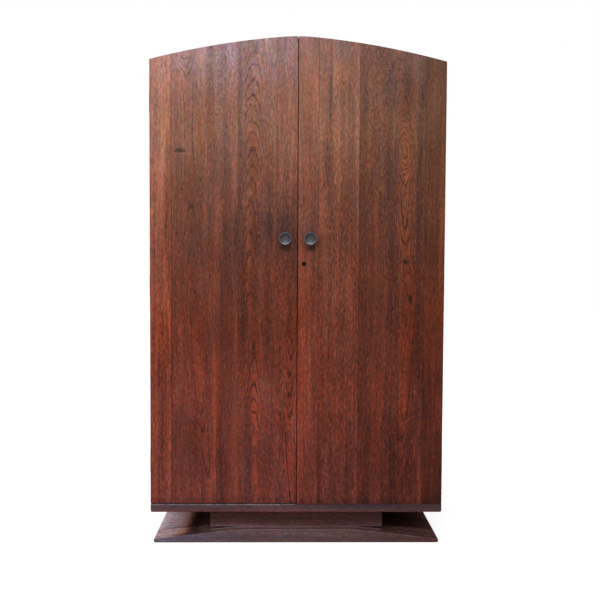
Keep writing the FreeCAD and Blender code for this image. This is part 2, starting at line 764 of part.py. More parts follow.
def lock_case():
    """Rim lock behind the keyhole: a case with a chamber for the key and a channel for the bolt."""
    x0 = meeting_x + lock_meeting_setback
    x1 = x0 + lock_width
    z0 = keyhole_height - lock_foot_below_keyhole
    y0, y1, low, high = lock_bolt_span()
    gap = lock_bolt_clearance
    case = box(x0, x1, door_back_y, door_back_y + lock_depth, z0, z0 + lock_height)
    case = case.makeFillet(lock_wall / 2, edges_where(case, lambda p: p.y > door_back_y + lock_wall))
    channel = box(x0 - cut_overrun, x1 - lock_wall, y0 - gap, y1 + gap, low - gap, high + gap)
    inner_y = (door_back_y + lock_wall, door_back_y + lock_depth - lock_wall)
    chamber = box(x0 + lock_wall, x1 - lock_wall, *inner_y, z0 + lock_wall, low - lock_wall)
    reach = lock_bolt_above_keyhole / 2
    key_way = box(keyhole_offset - reach, keyhole_offset + reach, y0 - gap, y1 + gap, z0 + lock_wall * 2, low)
    case = case.cut(channel).cut(chamber).cut(key_way)
    hole_start = vec(keyhole_offset, door_back_y - cut_overrun, keyhole_height)
    case = case.cut(rod(lock_hole_radius, cut_overrun + lock_wall * 2, hole_start, vec(0, 1, 0)))
    post_start = vec(keyhole_offset, door_back_y + lock_wall, keyhole_height)
    post = rod(key_post_radius, lock_depth - lock_wall * 2, post_start, vec(0, 1, 0))
    save("lock_case", case.fuse(post))


def lock_bolt():
    """Flat bolt, drawn back flush with the lock's edge."""
    x0 = meeting_x + lock_meeting_setback
    y0, y1, low, high = lock_bolt_span()
    save("lock_bolt", box(x0, x0 + lock_bolt_tail, y0, y1, low, high))


def lock_keeper():
    """Keeper on the left door's back, with a pocket open towards the lock."""
    y0, y1, low, high = lock_bolt_span()
    gap = keeper_gap
    top_z = high + gap + keeper_wall
    low_z = low - gap - keeper_wall
    block = box(-meeting_x - keeper_length, -meeting_x, door_back_y, door_back_y + lock_depth, low_z, top_z)
    block = block.makeFillet(lock_wall / 2, edges_where(block, lambda p: p.y > door_back_y + lock_wall))
    pocket_end = -meeting_x - keeper_length + keeper_wall
    pocket = box(pocket_end, -meeting_x + cut_overrun, y0 - gap, y1 + gap, low - gap, high + gap)
    save("lock_keeper", block.cut(pocket))


def bolt_ends(place):
    """Where the bolt's tip rests, and which way it moves out, for the top or the bottom bolt."""
    if place == "top":
        return top_rail_low_z - bolt_tuck, 1
    return floor_z + left_door_lift + bolt_tuck, -1


def bolt_axis(z):
    return vec(-bolt_offset, bolt_axis_y, z)


def bolt_keeper(place, thickness, pierced):
    """Keeper plate, or the recess for it, let in flush with the rail or the bottom board."""
    face_z = top_rail_low_z if place == "top" else floor_z
    z = (face_z, face_z + thickness) if place == "top" else (face_z - thickness, face_z)
    centre = bolt_axis(face_z)
    half_across = bolt_keeper_width / 2
    half_deep = bolt_keeper_depth / 2
    plate = box(centre.x - half_across, centre.x + half_across, centre.y - half_deep,
                centre.y + half_deep, *z)
    return plate.cut(bolt_socket(place)) if pierced else plate


def bolt_socket(place):
    """Hole that the bolt moves into, through the keeper plate and into the wood."""
    face_z = top_rail_low_z if place == "top" else floor_z
    out = 1 if place == "top" else -1
    start = bolt_axis(face_z - out * cut_overrun)
    return rod(bolt_radius + bolt_hole_gap, cut_overrun + bolt_hole_depth, start, vec(0, 0, out))


def sliding_bolt(place):
    """Round bolt with a short grip that stands out through the barrel's slot."""
    tip_z, out = bolt_ends(place)
    shaft = rod(bolt_radius, bolt_length, bolt_axis(tip_z), vec(0, 0, -out))
    tip = edges_where(shaft, lambda p: near(p.z, tip_z))
    shaft = shaft.makeChamfer(bolt_radius * bolt_nose_share, tip)
    grip_z = tip_z - out * (barrel_setback - bolt_tuck + barrel_length / 2 + bolt_throw / 2)
    grip = rod(bolt_grip_radius, bolt_grip_length, bolt_axis(grip_z), vec(0, 1, 0))
    save("%s_bolt" % place, shaft.fuse(grip))


def barrel(place):
    """Barrel that guides a bolt, with a slot in its back for the grip's travel."""
    tip_z, out = bolt_ends(place)
    near_z = tip_z - out * (barrel_setback - bolt_tuck)
    far_z = near_z - out * barrel_length
    axis = bolt_axis(near_z)
    rear_y = axis.y + bolt_radius + barrel_wall
    z = sorted((near_z, far_z))
    half_across = bolt_radius + barrel_cheek
    block = box(axis.x - half_across, axis.x + half_across, door_back_y, rear_y, *z)
    rear_edges = edges_where(block, lambda p: near(p.y, rear_y))
    block = block.makeFillet(arris_round, [edge for edge in rear_edges if near(edge.Length, barrel_length)])
    start = bolt_axis(z[0] - cut_overrun)
    bore = rod(bolt_radius + bolt_running_gap, barrel_length + 2 * cut_overrun, start, vec(0, 0, 1))
    slot_half = bolt_grip_radius + bolt_grip_gap
    slot_reach = bolt_throw / 2 + slot_half
    middle = (near_z + far_z) / 2
    slot = box(axis.x - slot_half, axis.x + slot_half, axis.y, rear_y + cut_overrun,
               middle - slot_reach, middle + slot_reach)
    return block.cut(bore).cut(slot)


def left_door_fittings():
    lock_keeper()
    save("bolt_barrels", barrel("top"), barrel("bottom"))
    save("bolt_keepers", bolt_keeper("top", bolt_keeper_thickness, True),
         bolt_keeper("bottom", bolt_keeper_thickness, True))
    sliding_bolt("top")
    sliding_bolt("bottom")


base_planks()
riser()
bottom_board()
case_sides()
back_boards()
top_staves()
top_rails()
shelf_and_rail()
case_hinge_parts()
for door_side in ("left", "right"):
    door_boards(door_side)
    battens(door_side)
    door_screws(door_side)
    door_hinge_leaves(door_side)
    knob(door_side)
    knob_screw(door_side)
lock_case()
lock_bolt()
left_door_fittings()
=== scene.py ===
import math
from dataclasses import dataclass

import bmesh
import bpy
from mathutils import Matrix, Vector


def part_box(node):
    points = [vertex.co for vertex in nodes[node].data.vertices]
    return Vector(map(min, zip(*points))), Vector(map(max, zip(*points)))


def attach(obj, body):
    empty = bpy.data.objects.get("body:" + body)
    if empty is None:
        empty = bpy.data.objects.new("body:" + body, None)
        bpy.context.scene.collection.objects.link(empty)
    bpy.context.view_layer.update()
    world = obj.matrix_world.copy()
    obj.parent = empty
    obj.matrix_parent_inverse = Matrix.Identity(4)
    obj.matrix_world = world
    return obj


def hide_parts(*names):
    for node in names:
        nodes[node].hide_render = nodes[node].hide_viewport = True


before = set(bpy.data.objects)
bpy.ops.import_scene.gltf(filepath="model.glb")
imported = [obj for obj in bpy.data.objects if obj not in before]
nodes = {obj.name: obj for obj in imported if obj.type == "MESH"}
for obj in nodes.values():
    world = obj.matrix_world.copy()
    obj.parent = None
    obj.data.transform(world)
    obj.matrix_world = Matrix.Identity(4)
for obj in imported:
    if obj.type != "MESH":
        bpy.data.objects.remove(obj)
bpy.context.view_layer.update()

# All lengths are in metres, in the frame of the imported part: the doors face -Y and +Z is up.
# Colours in numbers up to 255 are sRGB. Smaller ones are factors that multiply another colour.

DOOR_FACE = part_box("left_wide_board")[0].y
DOOR_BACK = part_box("left_wide_board")[1].y

# Finish of the doors, sides and top by height: the stain's colour, redder low down, and paler and greyer
# high up, where painted light from above and a painted sheen of the sky are mixed into it
FINISH_AND_LIGHT_BY_HEIGHT = ((0.12, (105, 51, 43)), (0.3, (99, 46, 36)), (0.5, (106, 50, 38)),
                    (0.8, (98, 45, 30)), (1.05, (94, 51, 38)), (1.3, (107, 65, 51)),
                    (1.5, (121, 81, 64)), (1.68, (127, 88, 75)), (1.83, (126, 92, 85)))

# Patch high up on the left door where that finish is palest and greyest: a painted sheen of the sky
SKY_SHEEN = (150, 124, 128)
SKY_SHEEN_MIDDLE = -0.27
SKY_SHEEN_REACH = (0.14, 0.38)
SKY_SHEEN_HEIGHTS = (1.6, 1.84)
SKY_SHEEN_SHARE = 0.75

# Its grain is calmer high up: two heights, and a board's factors on contrast and on hue below and above them
CONTRAST_BY_HEIGHT = (0.95, 1.75, 1.07, 0.7)
HUE_BY_HEIGHT = (0.9, 1.7, 1.0, 0.65)

# Other wood, with the pale colour of wear and a painted highlight on the base's arris, a painted highlight
# on the rail, and painted shade in the keyhole
INNER_WOOD = (122, 82, 58)
BACK_WOOD = (96, 66, 50)
RISER_WOOD = (59, 32, 28)
WORN_AND_HIGHLIT_WOOD = (172, 142, 147)
ARRIS_WOOD = (62, 44, 44)
RAIL_HIGHLIGHT = (96, 90, 97)
BORE_SHADE = (8, 5, 4)

# Factors on the colour, in the darkest and lightest grain, in its cool and warm parts and in two finer hues
DARK_TONE = (0.29, 0.3, 0.31)
LIGHT_TONE = (2.28, 2.2, 2.1)
COOL = (0.88, 1.03, 1.26)
WARM = (1.11, 0.95, 0.79)
CRIMSON = (1.1, 0.87, 1.1)
OLIVE = (0.91, 1.13, 0.91)
BACK_TINTS = (1.04, 0.88, 1.1, 0.95, 1.02)

# Colours of the base's upper side and front, by share of the way from its left end to its right one. The
# upper side holds painted light and shade: a pale painted sheen of window light at the left end, and painted
# shadow beside the riser's left end and right of the riser. The front is lighter and greyer at the left end.
BASE_TOP_LIGHT_AND_SHADE = ((0.02, (228, 206, 214)), (0.066, (224, 200, 212)), (0.093, (222, 186, 186)),
            (0.112, (210, 160, 152)), (0.126, (138, 96, 88)), (0.14, (64, 41, 38)), (0.16, (54, 36, 34)),
            (0.174, (80, 58, 55)), (0.187, (84, 62, 58)), (0.207, (80, 56, 52)), (0.215, (120, 96, 100)),
            (0.78, (104, 76, 76)), (0.795, (66, 43, 38)), (0.87, (76, 52, 46)), (0.98, (88, 60, 56)))
BASE_FRONT = ((0.02, (102, 88, 95)), (0.2, (94, 78, 84)), (0.4, (92, 72, 74)), (1.0, (88, 60, 58)))
BASE_ENDS = (-0.54, 0.54)

# Colours of the rail under the doors and of the riser, from foot to top. The rail's reddish foot is a
# painted reflection of light from the floor, and it darkens towards its top. The riser is paler at its foot
# with painted light from the base, and darker higher up with painted shadow under the rail, with a reddish
# strip at its top.
RAIL_FACE_AND_REFLECTION = ((0.02, (140, 66, 64)), (0.22, (90, 61, 61)), (0.45, (76, 53, 54)), (0.95, (66, 46, 48)))
RISER_FACE_AND_SHADE = ((0.02, (98, 70, 72)), (0.2, (74, 46, 44)), (0.45, (58, 32, 28)), (0.92, (46, 22, 19)),
              (0.98, (96, 42, 36)))

# Dark band on the base just behind its front arris: how far back it fades, its strength, and its share left
# of one x and right of another. At the left end the front of the upper side is darker by the factor below, a
# painted shade, out to the depths and the x that follow it.
ARRIS_DEPTHS = (0.012, 0.034)
ARRIS_STRENGTH = 0.85
ARRIS_BY_X = (-0.48, -0.41, 0.2, 1.0)
LEFT_FRONT_SHADE = (0.62, 0.54, 0.47)
LEFT_FRONT_SHADE_DEPTHS = (0.085, 0.12)
LEFT_FRONT_SHADE_BY_X = (-0.402, -0.385)

# Wear and a painted highlight along the edges of the base: its share left of one x and right of another,
# reach and polish
WEAR_AND_HIGHLIGHT_BY_X = (-0.37, -0.29, 0.1, 0.72)
WEAR_REACH = 0.0055
WEAR_POLISH = 0.22

# Cosines of normals: of the rounded one against the true one at an edge, and of the true one against +Z
EDGE_TURN = (0.98, 0.8)
UPWARD_TURN = (0.45, 0.8)

# Old dirt, in the joints between boards and at the foot of the case, and painted shade in the keyhole
SEAM_REACH = (0.00078, 0.0026)
GRIME = 0.16
GRIME_HEIGHTS = (0.142, 0.172)
BORE_DEPTHS = (0.0006, 0.003)
BORE_SOFTNESS = 1.15

# Marks on a board: how ragged their edge is, and the part of their size over which they fade
MARK_RAGGED = 0.9
MARK_FADE = (0.35, 1.15)

# Length over which the finish gives way to bare inner wood
INSIDE_REACH = 0.0004

# Growth rings: their usual width, the length that a board's curves cover, and the ranges of their results
RING = 0.0045
LENGTH_SPAN = 1.9
PITH_RANGE = (-0.6, 0.6)
DEPTH_RANGE = (0.0, 0.14)
LINES_RANGE = (0.0, 1.2)
SHADE_RANGE = (-0.5, 0.5)
HEART_RANGE = (0.0, 1.0)

# Near the heart the ring lines are stronger, the speckles weaker and the colour warmer
LINES_REACH = (0.015, 0.045)
LINES_AWAY = 0.5
SPECKLES_REACH = (0.008, 0.035)
SPECKLES_NEAR = 0.75
HEART_REACH = (0.006, 0.03)
HEART_WARMTH = 0.45

# By the axis through a board: the face that its rings are measured from, and the sign of the way into it
FACES = {"x": (0.0, -1), "y": (DOOR_FACE, 1), "z": (0.0, -1)}

# How far one step of a board's seed shifts its noise
SEED_SHIFT = (0.37, 0.23, 1.71)

# Roughness of wood, and strength and distance of the bump in each material
WOOD_ROUGHNESS = 0.5
WOOD_BUMP = (0.5, 0.0004)
METAL_BUMP = (0.3, 0.0002)
KNOB_BUMP = (0.01, 0.0002)

# Left door's wide board: a light strip beside a darker band, and their shared edge as heights and x
STRIP_EDGE = ((0.14, -0.298), (0.35, -0.295), (0.6, -0.295), (0.75, -0.303), (1.03, -0.323),
              (1.45, -0.328), (1.83, -0.331))
STRIP_TONE = 0.04
BAND_TONE = -0.08

# Flecks and glints that lean across the grain: their sides, the heights that they come in at, their lean
LEFT_FLECKS = ((-0.34, -0.2), (1.3, 1.58))
RIGHT_FLECKS = ((0.225, 0.345), (1.05, 1.35))
FLECK_LEAN = 0.35
FLECK_TONE = -0.3
GLINT_TONE = 0.2

# Knob, turned on a lathe: each corner's radius, height above the door and own round. From the last corner
# the line goes on towards one more point.
KNOB_OUTLINE = (
    (0.013, 0, 0),
    (0.0132, 0.003, 0.0008),
    (0.0098, 0.0066, 0.003),
    (0.0098, 0.0112, 0.003),
    (0.0226, 0.0182, 0.006),
    (0.023, 0.0266, 0.003),
    (0.0217, 0.028, 0.001),
    (0.0205, 0.028, 0.0004),
)
KNOB_TOWARDS = (0.0201, 0.0276)
ROUND_STEPS = 6
LATHE_STEPS = 128

# Its dished face: a part of a sphere, with a fine groove round the middle
DISH_RADIUS = 0.053
DISH_REACH = 0.0198
DISH_FLOOR = 0.0238
DISH_STEPS = 40
GROOVE_RADIUS = 0.0082
GROOVE_WIDTH = 0.0008
GROOVE_DEPTH = 0.0005

# Its lacquer, by distance from the middle as a part of its radius: lighter in the middle, a ring of painted
# shade inside the rim, and a pale bluish painted highlight on the rim
KNOB_RADIUS = 0.023
KNOB_LACQUER_LIGHT_AND_SHADE = ((0.0, (60, 47, 48)), (0.42, (54, 43, 45)), (0.62, (22, 18, 21)), (0.8, (22, 20, 24)),
             (0.92, (66, 66, 76)), (1.0, (74, 76, 86)))
KNOB_SHINE = 0.68
KNOB_TINT = (0.8, 0.88, 1.0, 1.0)

# Camera: where the photograph was taken from, as worked out from the doors' corners
CAMERA_PLACE = Vector((-0.0416, -3.24, 1.0286))
CAMERA_YAW = math.radians(-0.972)
CAMERA_PITCH = math.radians(-2.719)
CAMERA_ROLL = math.radians(-0.292)
CAMERA_LENS = 49.707
SENSOR = 36.0

# Lights: name, place, aim, width, height, power, and whether shiny faces mirror them
LIGHTS = (
    ("key", (-3.4, -3.0, 1.7), (0, 0, 0.8), 2.2, 2.2, 80, False),
    ("strip", (-0.35, -3.4, 4.0), (0, 0, 1.0), 5.6, 0.6, 139, True),
    ("fill", (2.8, -3.4, 1.8), (0, 0, 0.8), 3.0, 3.0, 12, False),
)
WORLD_LIGHT = 0.26

# Floor: half its side, its tone, its glow near the wardrobe for the camera, and where that rises to white
FLOOR_HALF = 14.0
FLOOR_TONE = 0.62
FLOOR_LIFT = 0.76
SHADOW_REACH = (0.75, 1.6)


def linear(rgb, scale=1.0):
    """An sRGB colour of numbers up to 255, in linear light."""
    out = []
    for value in rgb:
        part = value / 255
        part = part / 12.92 if part <= 0.04045 else ((part + 0.055) / 1.055) ** 2.4
        out.append(part * scale)
    return (*out, 1.0)


class Graph:
    """Short calls that add nodes to a node tree and link them."""

    def __init__(self, tree):
        self.tree = tree

    def add(self, kind, **settings):
        node = self.tree.nodes.new(kind)
        for key, value in settings.items():
            setattr(node, key, value)
        return node

    def put(self, socket, value):
        """Link a socket, or give it a constant. None leaves it as it is."""
        if isinstance(value, bpy.types.NodeSocket):
            self.tree.links.new(value, socket)
        elif value is not None:
            socket.default_value = value

    def put_all(self, sockets, values):
        for socket, value in zip(sockets, values):
            self.put(socket, value)

    def math(self, operation, *values, clamp=False):
        node = self.add("ShaderNodeMath", operation=operation, use_clamp=clamp)
        self.put_all(node.inputs, values)
        return node.outputs[0]

    def sum(self, *values):
        total = values[0]
        for value in values[1:]:
            total = self.math("ADD", total, value)
        return total

    def product(self, *values):
        total = values[0]
        for value in values[1:]:
            total = self.math("MULTIPLY", total, value)
        return total

    def minus(self, a, b):
        return self.math("SUBTRACT", a, b)

    def size(self, value):
        return self.math("ABSOLUTE", value)

    def change(self, value, mask, amount):
        """A value with amount added to it where mask is one."""
        return self.math("MULTIPLY_ADD", mask, amount, value)

    def distance(self, a, b):
        """The long side of a right angle with sides a and b."""
        return self.math("SQRT", self.sum(self.product(a, a), self.product(b, b)))

    def span(self, value, low, high, out_low=0.0, out_high=1.0, smooth=True):
        """Map value from low..high to out_low..out_high, held at its ends."""
        kind = "SMOOTHSTEP" if smooth else "LINEAR"
        node = self.add("ShaderNodeMapRange", interpolation_type=kind)
        self.put_all(node.inputs, (value, low, high, out_low, out_high))
        return node.outputs[0]

    def fade(self, value, low, high, start=1.0):
        """From start, where value is low or less, to nought from high on."""
        return self.span(value, low, high, start, 0.0)

    def split(self, vector):
        node = self.add("ShaderNodeSeparateXYZ")
        self.put(node.inputs[0], vector)
        return node.outputs[:3]

    def join(self, x, y, z):
        node = self.add("ShaderNodeCombineXYZ")
        self.put_all(node.inputs, (x, y, z))
        return node.outputs[0]

    def stretch(self, vector, factors, shift=(0.0, 0.0, 0.0)):
        node = self.add("ShaderNodeVectorMath", operation="MULTIPLY_ADD")
        self.put_all(node.inputs, (vector, factors, shift))
        return node.outputs[0]

    def noise(self, vector, factors, detail=2, rough=0.5, shift=(0.0, 0.0, 0.0)):
        """Noise about one half. factors are its spots to a metre along each axis."""
        node = self.add("ShaderNodeTexNoise")
        self.put(node.inputs["Vector"], self.stretch(vector, factors, shift))
        node.inputs["Scale"].default_value = 1.0
        node.inputs["Detail"].default_value = detail
        node.inputs["Roughness"].default_value = rough
        return node.outputs[0]

    def centred(self, value, size):
        """A noise value about zero, times size."""
        return self.product(self.minus(value, 0.5), size)

    def about_half(self, value, size):
        """A value whose distance from one half is multiplied by size."""
        return self.math("MULTIPLY_ADD", self.minus(value, 0.5), size, 0.5)

    def mix(self, factor, a, b, blend="MIX"):
        node = self.add("ShaderNodeMix", data_type="RGBA", blend_type=blend, clamp_factor=True)
        self.put(node.inputs[0], factor)
        self.put(node.inputs[6], a)
        self.put(node.inputs[7], b)
        return node.outputs[2]

    def tinted(self, colour, *factors):
        """A colour multiplied by other colours, one after the other."""
        for factor in factors:
            colour = self.mix(1.0, colour, factor, "MULTIPLY")
        return colour

    def ramp(self, value, stops):
        """A ramp through colours. Its node comes with two stops, and the others are added."""
        node = self.add("ShaderNodeValToRGB")
        elements = node.color_ramp.elements
        for index, (place, colour) in enumerate(stops):
            if index < 2:
                element = elements[index]
                element.position = place
            else:
                element = elements.new(place)
            element.color = colour
        self.put(node.inputs[0], value)
        return node.outputs[0]

    def between(self, value, low, high):
        """From one colour to another through the middle part of value."""
        return self.ramp(value, ((0.15, low), (0.85, high)))

    def colours(self, value, stops):
        """A ramp through sRGB colours."""
        return self.ramp(value, [(place, linear(colour)) for place, colour in stops])

    def curve(self, value, points, low, high):
        """A smooth curve through points, with results from low to high."""
        node = self.add("ShaderNodeFloatCurve")
        curve = node.mapping.curves[0]
        places = [(place / LENGTH_SPAN, (level - low) / (high - low)) for place, level in sorted(points)]
        curve.points[0].location = places[0]
        curve.points[1].location = places[-1]
        for place in places[1:-1]:
            curve.points.new(*place)
        node.mapping.extend = "HORIZONTAL"
        node.mapping.update()
        self.put(node.inputs["Value"], self.math("DIVIDE", value, LENGTH_SPAN))
        return self.span(node.outputs[0], 0.0, 1.0, low, high, smooth=False)

    def object_place(self):
        return self.add("ShaderNodeTexCoord").outputs["Object"]

    def true_normal(self):
        return self.add("ShaderNodeNewGeometry").outputs["True Normal"]

    def set_bump(self, shader, height, strength, distance, normal=None):
        bump = self.add("ShaderNodeBump")
        bump.inputs["Strength"].default_value = strength
        bump.inputs["Distance"].default_value = distance
        self.put(bump.inputs["Height"], height)
        self.put(bump.inputs["Normal"], normal)
        self.put(shader.inputs["Normal"], bump.outputs[0])


def empty_graph(holder):
    """The graph of a new material or world, with no nodes in it."""
    holder.use_nodes = True
    holder.node_tree.nodes.clear()
    return Graph(holder.node_tree)


def new_material(name):
    material = bpy.data.materials.new(name)
    g = empty_graph(material)
    shader = g.add("ShaderNodeBsdfPrincipled")
    output = g.add("ShaderNodeOutputMaterial")
    g.put(output.inputs["Surface"], shader.outputs[0])
    return material, g, shader


def add_object(name, data):
    holder = bpy.data.objects.new(name, data)
    bpy.context.scene.collection.objects.link(holder)
    return holder


def paint(node, material):
    """Give one CAD node its material, in every slot that it came with."""
    slots = nodes[node].data.materials
    for index in range(len(slots)):
        slots[index] = material


def new_group(name, numbers, results):
    """A node group that makes numbers from a place and other numbers."""
    tree = bpy.data.node_groups.new(name, "ShaderNodeTree")
    tree.interface.new_socket(name="Place", in_out="INPUT", socket_type="NodeSocketVector")
    for way, titles in (("INPUT", numbers), ("OUTPUT", results)):
        for title in titles:
            tree.interface.new_socket(name=title, in_out=way, socket_type="NodeSocketFloat")
    return tree, tree.nodes.new("NodeGroupInput"), tree.nodes.new("NodeGroupOutput")


def ring_lines(g, place, radius, ring):
    """The lines of open pores where each growth ring starts, uneven in strength and broken up."""
    wide_warp = g.centred(g.noise(place, (9, 9, 3.0)), 0.003)
    fine_warp = g.centred(g.noise(place, (150, 150, 60), detail=3, rough=0.6), 0.0032)
    phase = g.sum(g.math("DIVIDE", g.sum(radius, wide_warp, fine_warp), ring), 0.14)
    part = g.math("FRACT", phase)
    chance = g.add("ShaderNodeTexWhiteNoise", noise_dimensions="1D")
    g.put(chance.inputs["W"], g.math("FLOOR", phase))
    strength = g.span(chance.outputs["Value"], 0.0, 1.0, 0.55, 1.0, smooth=False)
    rise = g.span(part, 0.0, 0.06)
    fall = g.fade(part, 0.06, 0.27)
    broken = g.span(g.noise(place, (75, 75, 28), detail=3, rough=0.55), 0.34, 0.56, 0.5, 1.2)
    return g.product(g.product(rise, fall), g.product(strength, broken))


def make_grain_group():
    """Oak: ring lines, dashes, streaks and bands, as a tone, a warmth, a finer hue, pores and a height."""
    numbers = ("Radius", "Ring", "Lines", "Streaks", "Speckles", "Bands")
    results = ("Tone", "Warmth", "Tinge", "Pores", "Height")
    tree, source, sink = new_group("oak_grain", numbers, results)
    g = Graph(tree)
    place, radius, ring, lines, streaks, speckles, bands = source.outputs[:7]
    x, y, z = g.split(place)
    lay = g.join(radius, g.sum(x, y), z)
    line = ring_lines(g, place, radius, ring)
    mottle = g.centred(g.noise(lay, (215, 75, 60), detail=3, rough=0.66), 2.4)
    dash = g.span(g.noise(lay, (270, 90, 74), shift=(3.1, 1.7, 5.3)), 0.55, 0.68)
    glint = g.span(g.noise(lay, (230, 70, 40), shift=(7.7, 4.1, 2.9)), 0.57, 0.72)
    streak = g.centred(g.noise(lay, (105, 24, 4.0), detail=4, rough=0.62), 2.2)
    band = g.centred(g.noise(place, (34, 34, 1.3), detail=3), 2.0)
    blotch = g.centred(g.noise(place, (8, 8, 3.0), detail=4), 1.6)
    pore = g.span(g.noise(place, (1150, 1150, 60), detail=1), 0.52, 0.64)
    pores = g.product(pore, g.span(line, 0.0, 0.8, 0.4, 1.0, smooth=False))
    light = g.product(streak, streaks)
    light = g.change(light, g.sum(band, blotch), bands)
    light = g.change(light, g.sum(mottle, g.product(glint, 0.55)), speckles)
    dark = g.product(line, lines)
    dark = g.change(dark, dash, g.product(speckles, 0.5))
    dark = g.change(dark, pores, 0.1)
    tone = g.sum(0.54, g.minus(light, dark))
    fine_hue = g.centred(g.noise(lay, (70, 70, 16), detail=4, rough=0.7), 2.6)
    wide_hue = g.centred(g.noise(place, (22, 22, 4), shift=(5.5, 2.2, 8.8)), 1.4)
    warmth = g.sum(0.5, fine_hue, wide_hue, g.product(line, -0.6))
    fine_tinge = g.centred(g.noise(lay, (150, 60, 34), detail=3, rough=0.65, shift=(9.1, 6.3, 0.4)), 1.7)
    wide_tinge = g.centred(g.noise(place, (26, 26, 6), detail=3, rough=0.6, shift=(1.5, 8.2, 3.8)), 0.5)
    tinge = g.sum(0.5, fine_tinge, wide_tinge)
    height = g.sum(g.product(pores, -0.7), g.product(line, -0.4), g.product(dash, -0.3))
    g.put_all(sink.inputs, (tone, warmth, tinge, pores, height))
    return tree


GRAIN = make_grain_group()


@dataclass
class Looks:
    """How one board looks. Pairs are places along the board, each with the value there."""

    order: str  # the axes across the board, through it and along its grain
    finish: object  # an sRGB colour, or a function that makes one
    tint: tuple = (1, 1, 1)  # factor on the finish
    seed: int = 0  # shifts all noise, so that each board has its own
    pith: object = 0.0  # place of the tree's heart across the board: a number or pairs
    depth: object = 0.03  # depth of the heart behind the face: a number or pairs
    ring: float = RING  # width of a growth ring
    lines: object = 0.25  # strength of the ring lines: a number or pairs
    streaks: float = 0.22  # strength of the long streaks
    speckles: float = 0.44  # strength of the short flecks and dashes
    bands: float = 0.4  # strength of the broad bands and blotches
    contrast: float = 1.0  # factor on the whole grain
    hue: float = 1.0  # factor on its warm and cool parts
    shine: float = 0.16  # specular level
    grime: float = 0.0  # dirt at the foot of the case
    seams: tuple = ()  # dirt along the left side and the right side
    shade: tuple = ()  # pairs that lighten or darken
    heart: tuple = ()  # pairs that warm the column along the heart
    marks: tuple = ()  # x, z, half width, half height, change of tone, change of warmth
    inside: tuple = ()  # start of bare inner wood: axis, place, and 1 or -1 for the way
    bore: tuple = ()  # a hole through the board, painted dark inside as shade: x, z and radius
    figure: object = None  # a function that adds a figure of its own to the tone
    worn: object = None  # a function for how far the edges show wear and a painted highlight


def stain_and_sheen(g, parts, place):
    """The doors' finish: paler and greyer high up with painted light and a painted sky sheen, and most in a
    patch on the left door.
    """
    stops = [(height / LENGTH_SPAN, colour) for height, colour in FINISH_AND_LIGHT_BY_HEIGHT]
    stained = g.colours(g.math("DIVIDE", parts["z"], LENGTH_SPAN), stops)
    beside = g.size(g.minus(parts["x"], SKY_SHEEN_MIDDLE))
    patch = g.product(g.span(parts["z"], *SKY_SHEEN_HEIGHTS), g.fade(beside, *SKY_SHEEN_REACH))
    broken = g.span(g.noise(place, (50, 50, 20), detail=3), 0.35, 0.6, 0.45, 1.0)
    return g.mix(g.product(patch, broken, SKY_SHEEN_SHARE), stained, linear(SKY_SHEEN))


